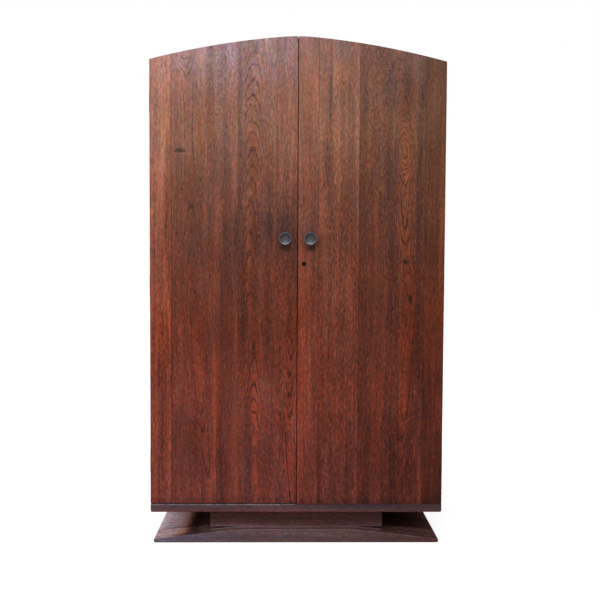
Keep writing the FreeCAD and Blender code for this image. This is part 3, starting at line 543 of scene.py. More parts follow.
class Board:
    """One board's material in the making: its places, its grain, and what its looks add to them."""

    def __init__(self, g, node, looks):
        self.g = g
        self.node = node
        self.looks = looks
        x, y, z = g.split(g.object_place())
        self.parts = {"x": x, "y": y, "z": z}
        across, through, self.along = (self.parts[axis] for axis in looks.order)
        shift = [looks.seed * step for step in SEED_SHIFT]
        self.place = g.stretch(g.join(across, through, self.along), (1, 1, 1), shift)
        across = g.minus(across, self.by_length(looks.pith, PITH_RANGE))
        face, inward = FACES[looks.order[1]]
        behind = g.sum(g.product(g.minus(through, face), inward), self.by_length(looks.depth, DEPTH_RANGE))
        self.away = g.size(across)
        self.grain = self.make_grain(g.distance(across, behind))

    def by_length(self, value, limits):
        """A number as it is, or pairs as a curve along the board."""
        if isinstance(value, (int, float)):
            return value
        return self.g.curve(self.along, value, *limits)

    def by_height(self, value, low, high, low_factor, high_factor):
        """A number as it is, or times a factor that changes with height on wood with the doors' finish."""
        if self.looks.finish is not stain_and_sheen:
            return value
        return self.g.span(self.parts["z"], low, high, value * low_factor, value * high_factor)

    def make_grain(self, radius):
        g = self.g
        looks = self.looks
        lines = self.by_length(looks.lines, LINES_RANGE)
        lines = g.span(self.away, *LINES_REACH, lines, g.product(lines, LINES_AWAY))
        speckles = g.span(self.away, *SPECKLES_REACH, looks.speckles * SPECKLES_NEAR, looks.speckles)
        grain = g.add("ShaderNodeGroup", node_tree=GRAIN)
        values = (self.place, radius, looks.ring, lines, looks.streaks, speckles, looks.bands)
        g.put_all(grain.inputs, values)
        return grain.outputs

    def mark(self, x, z, half_width, half_height):
        """A soft spot or streak with a ragged edge, on an upright face."""
        g = self.g
        across = g.math("DIVIDE", g.minus(self.parts["x"], x), half_width)
        along = g.math("DIVIDE", g.minus(self.parts["z"], z), half_height)
        ragged = g.centred(g.noise(self.place, (160, 160, 40)), MARK_RAGGED)
        return g.fade(g.sum(g.distance(across, along), ragged), *MARK_FADE)

    def seam_dirt(self):
        """Old dirt in the joints along the board's two long sides."""
        g = self.g
        low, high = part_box(self.node)
        broken = g.span(g.noise(self.place, (4, 4, 9), detail=3), 0.35, 0.62, 0.35, 1.0)
        joints = []
        for x, strength in zip((low.x, high.x), self.looks.seams):
            away = g.size(g.minus(self.parts["x"], x))
            joints.append(g.product(g.fade(away, *SEAM_REACH, start=strength), broken))
        return g.sum(*joints)

    def grime(self):
        """Dirt at the foot of the case, with a ragged upper edge."""
        g = self.g
        ragged = g.centred(g.noise(self.place, (60, 60, 60), detail=4), 0.05)
        return g.fade(g.sum(self.parts["z"], ragged), *GRIME_HEIGHTS, start=self.looks.grime)

    def tone_and_warmth(self):
        g = self.g
        looks = self.looks
        tone = g.about_half(self.grain["Tone"], self.by_height(looks.contrast, *CONTRAST_BY_HEIGHT))
        warmth = self.grain["Warmth"]
        if looks.shade:
            tone = g.sum(tone, self.by_length(looks.shade, SHADE_RANGE))
        for *place, tone_change, warmth_change in looks.marks:
            mask = self.mark(*place)
            tone = g.change(tone, mask, tone_change)
            warmth = g.change(warmth, mask, warmth_change)
        if looks.heart:
            column = g.product(g.fade(self.away, *HEART_REACH), self.by_length(looks.heart, HEART_RANGE))
            warmth = g.change(warmth, column, HEART_WARMTH)
        if looks.figure:
            tone = looks.figure(g, self.parts, tone)
        if looks.seams:
            tone = g.minus(tone, self.seam_dirt())
        if looks.grime:
            tone = g.minus(tone, self.grime())
        return tone, g.about_half(warmth, self.by_height(looks.hue, *HUE_BY_HEIGHT))

    def ground(self):
        """The finish, and the bare wood inside the case, before the grain is laid over them."""
        g = self.g
        finish = self.looks.finish
        ground = finish(g, self.parts, self.place) if callable(finish) else linear(finish)
        if self.looks.inside:
            axis, start, way = self.looks.inside
            within = g.span(g.product(g.minus(self.parts[axis], start), way), 0.0, INSIDE_REACH)
            ground = g.mix(within, ground, linear(INNER_WOOD))
        return ground

    def colour(self):
        g = self.g
        tone, warmth = self.tone_and_warmth()
        tones = g.ramp(tone, ((0.0, (*DARK_TONE, 1)), (0.5, (1, 1, 1, 1)), (1.0, (*LIGHT_TONE, 1))))
        warm = g.between(warmth, (*COOL, 1), (*WARM, 1))
        tinge = g.between(self.grain["Tinge"], (*CRIMSON, 1), (*OLIVE, 1))
        colour = g.tinted(self.ground(), tones, warm, tinge, (*self.looks.tint, 1))
        # Painted shade inside the keyhole
        if self.looks.bore:
            colour = self.shaded_bore(colour)
        return colour

    def shaded_bore(self, colour):
        """A colour darkened almost to black inside the bore: painted shade."""
        g = self.g
        x, z, radius = self.looks.bore
        away = g.distance(g.minus(self.parts["x"], x), g.minus(self.parts["z"], z))
        deep = g.span(self.parts["y"], *(DOOR_FACE + depth for depth in BORE_DEPTHS))
        return g.mix(g.product(g.fade(away, radius, radius * BORE_SOFTNESS), deep), colour, linear(BORE_SHADE))

    def worn_edges(self):
        """One along the edges where they show wear and a painted highlight, and nought away from them, and
        the normal rounded there.
        """
        g = self.g
        bevel = g.add("ShaderNodeBevel", samples=4)
        bevel.inputs["Radius"].default_value = WEAR_REACH
        facing = g.add("ShaderNodeVectorMath", operation="DOT_PRODUCT")
        g.put_all(facing.inputs, (bevel.outputs[0], g.true_normal()))
        edges = g.span(facing.outputs["Value"], *EDGE_TURN)
        rubbed = g.span(g.noise(self.place, (40, 40, 14), detail=4), 0.38, 0.6, 0.2, 1.0)
        return g.product(edges, rubbed), bevel.outputs[0]


def wood(node, order, finish, **looks):
    """Paint one node as a board of oak."""
    material, g, shader = new_material(node + "_oak")
    board = Board(g, node, Looks(order, finish, **looks))
    colour = board.colour()
    roughness = WOOD_ROUGHNESS
    normal = None
    if board.looks.worn:
        # Edges: the pale colour of wear with a painted highlight, and a smoother polish
        edges, normal = board.worn_edges()
        colour = g.mix(g.product(edges, board.looks.worn(g, board.parts)), colour, linear(WORN_AND_HIGHLIT_WOOD))
        roughness = g.span(edges, 0.0, 1.0, WOOD_ROUGHNESS, WOOD_ROUGHNESS - WEAR_POLISH, smooth=False)
    dull = g.centred(g.noise(board.place, (25, 25, 6), detail=3), 0.35)
    dull = g.change(dull, board.grain["Pores"], 0.25)
    g.put(shader.inputs["Base Color"], colour)
    g.put(shader.inputs["Roughness"], g.math("ADD", roughness, dull, clamp=True))
    shader.inputs["Specular IOR Level"].default_value = board.looks.shine
    g.set_bump(shader, board.grain["Height"], *WOOD_BUMP, normal=normal)
    paint(node, material)


def rings(*points, size=RING):
    """Heights with the heart's depth there counted in growth rings, as a depth in metres."""
    return [(height, count * size) for height, count in points]


def flecked(g, parts, tone, sides, heights):
    """A tone with short flecks and glints that lean across the grain, between sides and above heights."""
    middle = (sides[0] + sides[1]) / 2
    half = (sides[1] - sides[0]) / 2
    away = g.size(g.minus(parts["x"], middle))
    zone = g.product(g.fade(away, half * 0.6, half), g.span(parts["z"], *heights))
    leaning = g.join(g.sum(parts["x"], g.product(parts["z"], FLECK_LEAN)), 0.0, parts["z"])
    fleck = g.span(g.noise(leaning, (260, 1, 110)), 0.5, 0.64)
    glint = g.span(g.noise(leaning, (200, 1, 80), shift=(4.4, 0, 1.2)), 0.52, 0.7)
    tone = g.change(tone, g.product(fleck, zone), FLECK_TONE)
    return g.change(tone, g.product(glint, zone), GLINT_TONE)


def left_figure(g, parts, tone):
    """The left wide board's light strip and darker band, and its flecks."""
    across = g.minus(parts["x"], g.curve(parts["z"], STRIP_EDGE, *PITH_RANGE))
    strip = g.product(g.span(across, -0.02, -0.008), g.fade(across, -0.001, 0.001))
    band = g.product(g.span(across, -0.001, 0.001), g.fade(across, 0.004, 0.045))
    tone = g.change(tone, strip, STRIP_TONE)
    tone = g.change(tone, band, BAND_TONE)
    return flecked(g, parts, tone, *LEFT_FLECKS)


def right_figure(g, parts, tone):
    """The flecks at the left side of the right wide board."""
    return flecked(g, parts, tone, *RIGHT_FLECKS)


# Doors' boards: looks set one by one after each board's own figure in the photo
DOOR_BOARDS = {
    "left_outer_board": dict(
        tint=(1.34, 1.26, 1.12), seed=1, contrast=1.1, seams=(0, 0.45), streaks=0.36, speckles=0.42,
        ring=0.0062, lines=0.42, pith=-0.95,
        shade=((0.14, -0.1), (0.6, -0.03), (1, 0.13), (1.3, 0.09), (1.75, 0.05)),
        marks=((-0.48, 1.02, 0.005, 0.1, 0.16, 0.4), (-0.474, 0.45, 0.01, 0.42, -0.09, 0),
               (-0.5, 0.71, 0.04, 0.16, -0.16, 0.1), (-0.478, 1.45, 0.005, 0.14, 0.16, 0.1),
               (-0.512, 1.45, 0.01, 0.3, -0.1, -0.3), (-0.489, 1.72, 0.003, 0.005, -0.5, 0)),
    ),
    "left_wide_board": dict(
        tint=(1.04, 1.02, 1), seed=2, contrast=0.88, seams=(0.25, 0.05),
        lines=((0.14, 0.6), (0.5, 0.6), (0.8, 0.4), (0.95, 0.34), (1.25, 0.36), (1.4, 0.45), (1.6, 0.65),
               (1.7, 0.85), (1.83, 0.85)),
        pith=((0.14, -0.318), (0.255, -0.324), (0.41, -0.344), (0.469, -0.349), (0.76, -0.37),
              (0.93, -0.378), (1.06, -0.383), (1.23, -0.385), (1.42, -0.392), (1.685, -0.398),
              (1.745, -0.406), (1.83, -0.411)),
        depth=rings((0.14, 11.5), (0.255, 11), (0.41, 10), (0.469, 9), (0.56, 8.35), (0.76, 8.3), (0.9, 8.6),
                    (0.928, 9), (0.986, 10), (1.065, 11), (1.144, 12), (1.23, 13), (1.34, 13.4),
                    (1.62, 13.45), (1.685, 13), (1.72, 12), (1.745, 11), (1.775, 10), (1.8, 9)),
        heart=((0.14, 0.3), (0.7, 0.5), (1.2, 0.2), (1.5, 0.1), (1.8, 0.1)),
        shade=((0.14, 0), (0.9, -0.02), (1.2, -0.02), (1.5, 0), (1.7, 0.05), (1.83, 0.05)),
        marks=((-0.424, 1.421, 0.027, 0.009, -0.4, -0.8), (-0.405, 1.408, 0.045, 0.005, 0.1, 0.5),
               (-0.4, 1.5, 0.035, 0.16, 0.06, 0), (-0.275, 1.37, 0.045, 0.14, -0.12, -0.2),
               (-0.26, 1.62, 0.05, 0.22, 0, -0.2), (-0.395, 0.8, 0.04, 0.2, -0.08, 0),
               (-0.224, 1.13, 0.01, 0.12, -0.2, -0.4), (-0.452, 0.72, 0.028, 0.15, -0.26, -0.2),
               (-0.335, 0.72, 0.04, 0.11, -0.1, 0), (-0.305, 0.23, 0.025, 0.06, 0.16, 0),
               (-0.44, 0.4, 0.012, 0.1, -0.1, -0.3), (-0.3, 0.45, 0.008, 0.28, 0.05, 0.3)),
        figure=left_figure,
    ),
    "left_inner_board": dict(
        tint=(0.99, 0.97, 0.94), seed=3, contrast=0.95, seams=(0.03, 0.06), ring=0.0035,
        lines=((0.14, 0.35), (0.45, 0.45), (0.53, 0.9), (0.62, 0.95), (0.75, 0.6), (0.9, 0.75), (1, 0.7),
               (1.1, 0.55), (1.3, 0.65), (1.5, 0.95), (1.7, 0.85), (1.83, 0.75)),
        pith=((0.14, -0.152), (0.41, -0.156), (0.52, -0.16), (0.7, -0.158), (0.914, -0.171), (1.24, -0.171),
              (1.33, -0.163), (1.6, -0.165), (1.68, -0.159), (1.83, -0.15)),
        depth=rings((0.14, 9.4), (0.33, 11), (0.41, 12), (0.48, 13), (0.521, 14), (0.576, 15), (0.704, 16),
                    (0.84, 16.4), (0.89, 16.5), (0.914, 17), (0.943, 18), (0.965, 19), (0.987, 20),
                    (1.066, 21), (1.138, 22), (1.239, 23), (1.314, 24), (1.364, 25), (1.428, 26),
                    (1.489, 27), (1.531, 28), (1.585, 29), (1.62, 30), (1.68, 31), (1.737, 32), (1.779, 33),
                    size=0.0035),
        heart=((0.14, 0.1), (0.45, 0.3), (0.65, 0.2), (0.95, 0.7), (1.2, 0.3), (1.35, 0.7), (1.6, 0.5),
               (1.75, 0.1)),
        shade=((0.14, 0.04), (0.5, 0.08), (0.85, -0.05), (1.2, -0.1), (1.45, 0.03), (1.75, 0.06)),
        marks=((-0.104, 1.15, 0.018, 0.09, -0.24, -0.4), (-0.092, 0.985, 0.008, 0.05, 0.16, 0.5),
               (-0.112, 1.3, 0.012, 0.04, -0.14, -0.2), (-0.095, 1.21, 0.006, 0.012, 0.22, 0.6),
               (-0.2, 1.2, 0.014, 0.1, 0.06, 0), (-0.14, 1.13, 0.035, 0.12, -0.22, -0.1),
               (-0.208, 1.6, 0.008, 0.25, -0.18, -0.6), (-0.115, 0.55, 0.055, 0.06, 0.18, -0.35),
               (-0.152, 0.71, 0.02, 0.1, -0.12, 0), (-0.15, 0.36, 0.025, 0.12, -0.1, 0),
               (-0.185, 0.3, 0.03, 0.25, -0.08, -0.2)),
    ),
    "left_meeting_board": dict(
        tint=(0.97, 0.93, 0.92), seed=4, contrast=1.2, seams=(0.05, 0.1), streaks=0.3, lines=0.6,
        pith=((0.14, -0.014), (0.8, -0.014), (1.05, 0.03), (1.2, 0.06), (1.83, 0.08)),
        depth=rings((0.14, 9.8), (0.3, 9.4), (0.45, 9), (0.537, 8), (0.614, 7), (0.679, 6), (0.734, 5),
                    (0.8, 4.2), (1, 4), (1.83, 4)),
        heart=((0.14, 0.2), (0.7, 0.6), (1, 0.3), (1.2, 0), (1.8, 0.1)),
        marks=((-0.04, 1.15, 0.034, 0.065, -0.22, -0.7), (-0.058, 0.95, 0.006, 0.12, 0.1, 0.5),
               # The mark at z 1.077 below is a painted shadow under the left knob.
               (-0.046, 1.077, 0.02, 0.016, -0.3, 0.1), (-0.045, 0.57, 0.03, 0.07, 0.09, -0.1)),
    ),
    "right_meeting_board": dict(
        tint=(1.32, 1.18, 1.06), seed=5, contrast=1.3, seams=(0.1, 0.22), streaks=0.24, speckles=0.34,
        bands=0.34, ring=0.0034, bore=(0.0225, 1.017, 0.0085), lines=0.2, pith=0.62,
        shade=((0.14, -0.08), (0.32, -0.06), (0.45, 0.03), (0.9, 0.04), (1.02, -0.01), (1.2, -0.04),
               (1.4, -0.06), (1.75, -0.07)),
        marks=((0.009, 1.226, 0.008, 0.01, -0.26, -0.6), (0.062, 0.85, 0.012, 0.62, -0.12, -0.3),
               # The mark at z 1.077 below is a painted shadow under the right knob.
               (0.045, 1.12, 0.04, 0.05, -0.08, -0.4), (0.049, 1.077, 0.02, 0.016, -0.34, 0.1)),
    ),
    "right_inner_board": dict(
        tint=(0.98, 0.94, 0.85), seed=6, contrast=1.05, seams=(0.1, 0.08), streaks=0.24, speckles=0.56,
        ring=0.0075, lines=0.2, pith=-0.42,
        shade=((0.14, -0.12), (0.5, -0.09), (0.9, 0.04), (1.3, 0.05), (1.75, -0.01)),
        marks=((0.15, 1.7, 0.035, 0.07, 0.12, 0.5), (0.117, 1.62, 0.008, 0.14, -0.14, -0.4),
               (0.199, 0.5, 0.005, 0.12, 0.24, 0.6), (0.105, 1.4, 0.01, 0.1, -0.16, -0.5),
               (0.16, 0.98, 0.03, 0.12, 0.06, 0.2), (0.14, 0.77, 0.07, 0.2, 0.02, -0.55),
               (0.152, 0.44, 0.02, 0.05, -0.16, 0)),
    ),
    "right_wide_board": dict(
        tint=(0.76, 0.69, 0.59), seed=7, contrast=1.15, seams=(0.28, 0.05),
        lines=((0.14, 0.4), (0.42, 0.75), (0.6, 0.45), (0.88, 0.55), (0.97, 0.3), (1.05, 0.9), (1.2, 0.95),
               (1.3, 1.15), (1.42, 1.15), (1.49, 0.9), (1.55, 0.5), (1.65, 0.36), (1.83, 0.36)),
        pith=((0.14, 0.378), (0.378, 0.378), (0.448, 0.391), (0.6, 0.397), (0.881, 0.411), (1.033, 0.393),
              (1.156, 0.388), (1.346, 0.386), (1.425, 0.385), (1.578, 0.376), (1.642, 0.371), (1.685, 0.364),
              (1.83, 0.353)),
        depth=rings((0.14, 13.5), (0.33, 13.45), (0.378, 13), (0.448, 12), (0.55, 11.5), (0.82, 11.4),
                    (0.881, 11), (0.93, 10.55), (0.98, 10.5), (1.033, 11), (1.06, 11.3), (1.091, 11),
                    (1.156, 10), (1.25, 9.5), (1.3, 9), (1.341, 8), (1.356, 7), (1.374, 6), (1.395, 5),
                    (1.425, 4.5), (1.45, 5), (1.468, 6), (1.49, 7), (1.511, 8), (1.533, 9), (1.555, 10),
                    (1.573, 11), (1.642, 12), (1.685, 13), (1.72, 14), (1.76, 15), (1.83, 16.5)),
        heart=((0.14, 0.3), (0.5, 0.6), (0.9, 0.7), (1.05, 0.4), (1.2, 0.5), (1.42, 1), (1.6, 0.6),
               (1.8, 0.3)),
        shade=((0.14, -0.14), (0.5, -0.07), (0.9, 0.08), (1.2, 0.07), (1.5, -0.03), (1.75, -0.04)),
        marks=((0.411, 0.89, 0.006, 0.026, -0.36, -0.4), (0.357, 0.965, 0.01, 0.01, -0.3, -0.4),
               (0.393, 1.026, 0.022, 0.01, -0.24, -0.3), (0.256, 1.4, 0.026, 0.2, 0.18, 0),
               (0.37, 1.64, 0.06, 0.13, -0.26, 0), (0.22, 0.3, 0.05, 0.16, 0.22, 0),
               (0.304, 1.19, 0.018, 0.09, -0.16, 0), (0.457, 1.63, 0.022, 0.07, -0.18, 0),
               (0.405, 0.96, 0.02, 0.02, 0.14, 0), (0.415, 0.24, 0.03, 0.08, -0.18, 0.1),
               (0.29, 0.77, 0.09, 0.2, 0.04, -0.75), (0.385, 0.44, 0.035, 0.08, 0, 0.35),
               (0.33, 1.25, 0.03, 0.2, -0.05, -0.1), (0.44, 1.35, 0.012, 0.45, -0.14, -0.2),
               (0.44, 0.6, 0.014, 0.25, -0.1, 0), (0.24, 1.55, 0.012, 0.2, -0.1, -0.2)),
        figure=right_figure,
    ),
    "right_outer_board": dict(
        tint=(0.69, 0.58, 0.39), seed=8, contrast=1.15, seams=(0.1, 0), streaks=0.34, speckles=0.4,
        ring=0.0058, lines=0.26, pith=0.95,
        shade=((0.14, -0.18), (0.5, -0.1), (0.9, 0.16), (1.2, 0.15), (1.5, -0.15), (1.75, -0.25)),
    ),
}


def paint_doors():
    """The doors' boards, stained on nine tenths of their thickness, and the bare battens behind them."""
    behind = ("y", (DOOR_FACE + 9 * DOOR_BACK) / 10, 1)
    for node, looks in DOOR_BOARDS.items():
        wood(node, "xyz", stain_and_sheen, inside=behind, grime=GRIME, **looks)
    for side, first_seed in (("left", 23), ("right", 20)):
        for index, place in enumerate(("bottom", "middle", "top")):
            node = "%s_batten_%s" % (side, place)
            wood(node, "zyx", INNER_WOOD, pith=0.2 * index, seed=first_seed + index)


def upward(g):
    """One on faces that look up, nought on upright ones."""
    return g.span(g.split(g.true_normal())[2], *UPWARD_TURN)


def base_finish_light_and_shade(g, parts, place):
    """The base: its upper side by its own stops of painted light and shade, with its dark band at the arris
    and painted shade in front at the left end, and its front by other stops.
    """
    across = g.span(parts["x"], *BASE_ENDS, smooth=False)
    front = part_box("base_plank_1")[0].y
    ragged = g.sum(parts["y"], g.centred(g.noise(place, (20, 20, 8), detail=3), 0.02))
    near, far = ARRIS_DEPTHS
    arris = g.fade(ragged, front + near, front + far, start=ARRIS_STRENGTH)
    arris = g.product(arris, g.span(parts["x"], *ARRIS_BY_X))
    # Painted shade on the front of the upper side at its left end
    near, far = LEFT_FRONT_SHADE_DEPTHS
    left_front_shade = g.product(g.fade(ragged, front + near, front + far), g.fade(parts["x"], *LEFT_FRONT_SHADE_BY_X))
    top = g.mix(left_front_shade, g.colours(across, BASE_TOP_LIGHT_AND_SHADE), (*LEFT_FRONT_SHADE, 1), "MULTIPLY")
    top = g.mix(arris, top, linear(ARRIS_WOOD))
    return g.mix(upward(g), g.colours(across, BASE_FRONT), top)


def base_wear_and_highlight(g, parts):
    """How far the arris of the base shows wear and a painted highlight: little at the left, and most from
    the riser on.
    """
    return g.span(parts["x"], *WEAR_AND_HIGHLIGHT_BY_X)


def risen(g, parts, place, node):
    """How far up a node a point lies, from 0 to 1, with a ragged edge."""
    low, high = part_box(node)
    tall = g.span(parts["z"], low.z, high.z, smooth=False)
    return g.sum(tall, g.centred(g.noise(place, (30, 30, 200), detail=3), 0.18))


def rail_finish_and_highlights(g, parts, place):
    """The rail under the doors: a reddish painted reflection along its foot, and a painted highlight along
    its top at the left.
    """
    tall = risen(g, parts, place, "bottom_board")
    bright = g.product(g.span(tall, 0.86, 0.95), g.fade(parts["x"], -0.004, 0.0))
    broken = g.span(g.noise(place, (12, 60, 60), detail=3), 0.34, 0.55, 0.35, 1.0)
    return g.mix(g.product(bright, broken), g.colours(tall, RAIL_FACE_AND_REFLECTION), linear(RAIL_HIGHLIGHT))


def riser_finish_and_shade(g, parts, place):
    """The riser: paler at its foot with painted light, darker higher up with painted shadow under the rail,
    and reddish just under the rail.
    """
    return g.colours(risen(g, parts, place, "riser_front_board"), RISER_FACE_AND_SHADE)


# Plain boards: the axes across, through and along each of them, its finish and where its heart lies
PLAIN_BOARDS = {
    "hat_shelf": ("yzx", INNER_WOOD, 0.3),
    "shelf_cleats": ("zxy", INNER_WOOD, 0.9),
    "hanging_rail": ("yzx", INNER_WOOD, 0.0),
    "rail_sockets": ("yxz", INNER_WOOD, 0.1),
    "top_front_rail": ("zyx", INNER_WOOD, 1.2),
    "top_back_rail": ("zyx", INNER_WOOD, 1.3),
    "riser_back_board": ("zyx", RISER_WOOD, 0.5),
    "riser_left_end": ("zxy", RISER_WOOD, 0.4),
    "riser_right_end": ("zxy", RISER_WOOD, 0.5),
    "riser_glue_blocks": ("xyz", RISER_WOOD, 0.2),
}


def paint_case():
    for index, (node, (order, finish, pith)) in enumerate(PLAIN_BOARDS.items()):
        wood(node, order, finish, pith=pith, seed=30 + index, streaks=0.3, hue=0.5)
    for node, inward, pith, seed in (("side_left", 1, 0.35, 45), ("side_right", -1, -0.25, 46)):
        low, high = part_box(node)
        wood(node, "yxz", stain_and_sheen, pith=pith, seed=seed, tint=(0.95, 0.93, 0.9), grime=GRIME,
             inside=("x", (low.x + high.x) / 2, inward))
    wood("bottom_board", "zyx", rail_finish_and_highlights, pith=0.8, seed=47, speckles=0.42, hue=0.3, contrast=0.85,
         inside=("y", DOOR_BACK, 1))
    for index, tint in enumerate(BACK_TINTS):
        wood("back_board_%d" % (index + 1), "xyz", BACK_WOOD, pith=-0.4 + 0.21 * index, depth=0.05,
             seed=50 + index, tint=(tint, tint, tint), seams=(0.3, 0.3), hue=0.6)
    for index in range(5):
        wood("top_stave_%d" % (index + 1), "xzy", stain_and_sheen, pith=-0.5 + 0.23 * index, seed=60 + index,
             tint=(0.9, 0.9, 0.9))


def paint_base():
    wood("riser_front_board", "zyx", riser_finish_and_shade, pith=0.4, seed=49, streaks=0.3, hue=0.5)
    for index in range(3):
        wood("base_plank_%d" % (index + 1), "zyx", base_finish_light_and_shade, pith=-0.5 + 0.3 * index, seed=70 + index,
             streaks=0.2, speckles=0.4, hue=0.35, contrast=0.75, shine=0.0, worn=base_wear_and_highlight)


def metal(name, colour, roughness):
    """Old metal: a blotchy tone, fine grit and dull patches."""
    material, g, shader = new_material(name)
    place = g.object_place()
    blotch = g.noise(place, (90, 90, 90), detail=4, rough=0.6)
    grit = g.noise(place, (400, 400, 400), detail=3)
    tone = g.sum(0.5, g.centred(blotch, 1.6), g.centred(grit, 0.5))
    g.put(shader.inputs["Base Color"], g.between(tone, linear(colour, 0.35), linear(colour)))
    g.put(shader.inputs["Roughness"], g.math("ADD", roughness, g.centred(blotch, 0.5), clamp=True))
    shader.inputs["Metallic"].default_value = 1.0
    g.set_bump(shader, grit, *METAL_BUMP)
    return material


# Metals: colour, roughness and the nodes that are made of them
METALS = {
    "aged_brass": ((150, 118, 62), 0.42, (
        "hinge_case_leaves", "hinge_pins", "left_hinge_leaves", "right_hinge_leaves")),
    "lock_iron": ((74, 70, 68), 0.5, (
        "top_bolt", "bottom_bolt", "bolt_barrels", "bolt_keepers", "lock_case", "lock_bolt", "lock_keeper")),
    "screw_steel": ((120, 116, 110), 0.45, (
        "case_screws", "hinge_case_screws", "left_door_screws", "right_door_screws", "left_knob_screw",
        "right_knob_screw")),
}


def paint_metal():
    for name, (colour, roughness, members) in METALS.items():
        material = metal(name, colour, roughness)
        for node in members:
            paint(node, material)


def rounded(outline, towards):
    """Points along an outline, each corner rounded by its own radius, on its way to one more point."""
    places = [Vector(corner[:2]) for corner in outline] + [Vector(towards)]
    points = []
    for index, (*place, radius) in enumerate(outline):
        corner = Vector(place)
        if radius == 0:
            points.append(corner)
            continue
        before = places[index - 1] - corner
        after = places[index + 1] - corner
        half_turn = before.angle(after) / 2
        reach = min(radius / math.tan(half_turn), 0.49 * min(before.length, after.length))
        first = corner + before.normalized() * reach
        last = corner + after.normalized() * reach
        for step in range(ROUND_STEPS + 1):
            share = step / ROUND_STEPS
            points.append((1 - share) ** 2 * first + 2 * share * (1 - share) * corner + share ** 2 * last)
    return points


def dish():
    """Points along the dished face, from its rim to the middle."""
    points = []
    for step in range(DISH_STEPS + 1):
        radius = DISH_REACH * (1 - step / DISH_STEPS)
        height = DISH_FLOOR + DISH_RADIUS - math.sqrt(DISH_RADIUS ** 2 - radius ** 2)
        groove = GROOVE_DEPTH * math.exp(-((radius - GROOVE_RADIUS) / GROOVE_WIDTH) ** 2)
        points.append(Vector((radius, height - groove)))
    return points


def turned_ring(mesh, radius, height, centre):
    """The vertices of one turn round the axis, or on the axis one vertex again and again."""
    if radius == 0:
        return [mesh.verts.new((centre.x, centre.y - height, centre.z))] * LATHE_STEPS
    ring = []
    for step in range(LATHE_STEPS):
        angle = 2 * math.pi * step / LATHE_STEPS
        out = radius * math.cos(angle)
        up = radius * math.sin(angle)
        ring.append(mesh.verts.new((centre.x + out, centre.y - height, centre.z + up)))
    return ring


def lathe(name, points, centre):
    """A turned piece whose axis runs from centre towards -Y."""
    mesh = bmesh.new()
    rows = [turned_ring(mesh, radius, height, centre) for radius, height in points]
    for lower, upper in zip(rows, rows[1:]):
        for step in range(LATHE_STEPS):
            after = (step + 1) % LATHE_STEPS
            corners = [lower[step], lower[after], upper[after], upper[step]]
            mesh.faces.new(list(dict.fromkeys(corners)))
    mesh.faces.new(list(reversed(rows[0])))
    bmesh.ops.recalc_face_normals(mesh, faces=mesh.faces[:])
    data = bpy.data.meshes.new(name)
    mesh.to_mesh(data)
    mesh.free()
    for face in data.polygons:
        face.use_smooth = True
    return add_object(name, data)


def ebony(centre):
    """Black lacquer over turned wood: lighter in the middle, with a pale bluish painted highlight on the rim
    and a ring of painted shade between them.

    Both knobs share it. They stand as far left as right of x = 0, so it goes by the size of x.
    """
    material, g, shader = new_material("ebonised_wood")
    place = g.object_place()
    x, _, z = g.split(place)
    dust = g.noise(place, (160, 160, 160), detail=5, rough=0.62)
    scratches = g.noise(place, (60, 900, 60))
    away = g.distance(g.minus(g.size(x), abs(centre.x)), g.minus(z, centre.z))
    away = g.sum(away, g.centred(dust, 0.006))
    base = g.colours(g.math("DIVIDE", away, KNOB_RADIUS), KNOB_LACQUER_LIGHT_AND_SHADE)
    tone = g.span(g.sum(g.centred(dust, 1.4), g.centred(scratches, 0.5)), -0.5, 0.5, 0.65, 1.35)
    g.put(shader.inputs["Base Color"], g.tinted(base, tone))
    g.put(shader.inputs["Roughness"], g.span(dust, 0.3, 0.7, 0.29, 0.31))
    shader.inputs["Specular IOR Level"].default_value = KNOB_SHINE
    shader.inputs["Specular Tint"].default_value = KNOB_TINT
    g.set_bump(shader, g.sum(scratches, dust), *KNOB_BUMP)
    return material


def make_knobs():
    points = rounded(KNOB_OUTLINE, KNOB_TOWARDS) + dish()
    centres = {}
    for side in ("left", "right"):
        low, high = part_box(side + "_knob")
        centres[side] = Vector(((low.x + high.x) / 2, high.y, (low.z + high.z) / 2))
    material = ebony(centres["right"])
    for side, centre in centres.items():
        piece = lathe(side + "_turned_knob", points, centre)
        piece.data.materials.append(material)
        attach(piece, side + "_door")
        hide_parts(side + "_knob")


def make_camera():
    turn = Matrix.Rotation(CAMERA_YAW, 3, "Z") @ Matrix.Rotation(CAMERA_PITCH, 3, "X")
    turn = turn @ Matrix.Rotation(CAMERA_ROLL, 3, "Y")
    right, forward, up = turn.col
    camera = bpy.data.cameras.new("camera")
    camera.lens = CAMERA_LENS
    camera.sensor_width = SENSOR
    holder = add_object("camera", camera)
    axes = Matrix((right, up, -forward)).transposed()
    holder.matrix_world = Matrix.Translation(CAMERA_PLACE) @ axes.to_4x4()
    bpy.context.scene.camera = holder


def make_light(name, place, aim, width, height, power, mirrored):
    light = bpy.data.lights.new(name, "AREA")
    light.shape = "ELLIPSE" if width == height else "RECTANGLE"
    light.size = width
    light.size_y = height
    light.energy = power
    holder = add_object(name, light)
    holder.location = place
    holder.visible_glossy = mirrored
    holder.rotation_mode = "QUATERNION"
    holder.rotation_quaternion = (Vector(place) - Vector(aim)).to_track_quat("Z", "Y")


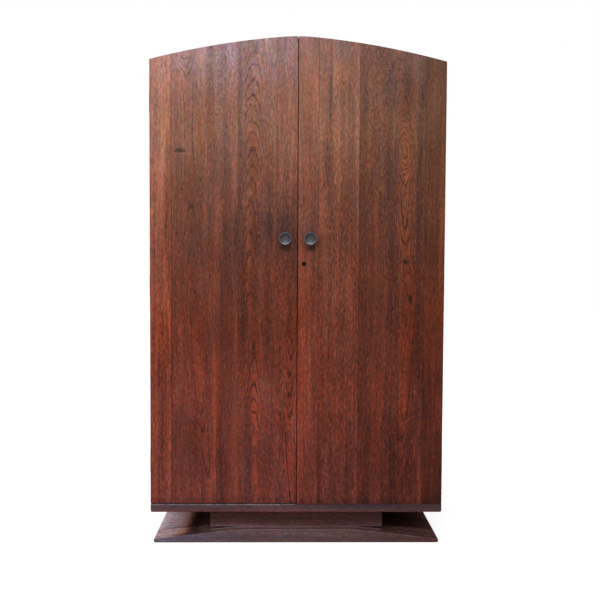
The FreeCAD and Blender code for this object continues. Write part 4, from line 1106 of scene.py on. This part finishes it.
def make_world():
    """Dim light from all round, which is white to the camera and in shiny faces."""
    world = bpy.data.worlds.new("studio")
    bpy.context.scene.world = world
    g = empty_graph(world)
    path = g.add("ShaderNodeLightPath")
    seen = g.math("MAXIMUM", path.outputs["Is Camera Ray"], path.outputs["Is Transmission Ray"])
    seen = g.math("MAXIMUM", seen, path.outputs["Is Glossy Ray"])
    background = g.add("ShaderNodeBackground")
    background.inputs["Color"].default_value = (1, 1, 1, 1)
    g.put(background.inputs["Strength"], g.span(seen, 0.0, 1.0, WORLD_LIGHT, 1.0, smooth=False))
    output = g.add("ShaderNodeOutputWorld")
    g.put(output.inputs["Surface"], background.outputs[0])


def floor_material():
    """Plain pale floor. A glow lifts what the camera sees of it to white, but the shadow on it stays."""
    material = bpy.data.materials.new("pale_floor")
    g = empty_graph(material)
    diffuse = g.add("ShaderNodeBsdfDiffuse")
    diffuse.inputs["Color"].default_value = (FLOOR_TONE, FLOOR_TONE, FLOOR_TONE, 1)
    away = g.add("ShaderNodeVectorMath", operation="LENGTH")
    g.put(away.inputs[0], g.object_place())
    lift = g.span(away.outputs["Value"], *SHADOW_REACH, FLOOR_LIFT, 1.0)
    path = g.add("ShaderNodeLightPath")
    glow = g.add("ShaderNodeEmission")
    g.put(glow.inputs["Strength"], g.product(path.outputs["Is Camera Ray"], lift))
    both = g.add("ShaderNodeAddShader")
    g.put_all(both.inputs, (diffuse.outputs[0], glow.outputs[0]))
    output = g.add("ShaderNodeOutputMaterial")
    g.put(output.inputs["Surface"], both.outputs[0])
    return material


def make_floor():
    corners = [(x * FLOOR_HALF, y * FLOOR_HALF, 0.0) for x, y in ((-1, -1), (1, -1), (1, 1), (-1, 1))]
    mesh = bpy.data.meshes.new("floor")
    mesh.from_pydata(corners, [], [(0, 1, 2, 3)])
    mesh.materials.append(floor_material())
    floor = add_object("floor", mesh)


paint_doors()
paint_case()
paint_base()
paint_metal()
make_knobs()
make_world()
make_floor()
for settings in LIGHTS:
    make_light(*settings)
make_camera()

bpy.context.scene.view_settings.view_transform = "Standard"
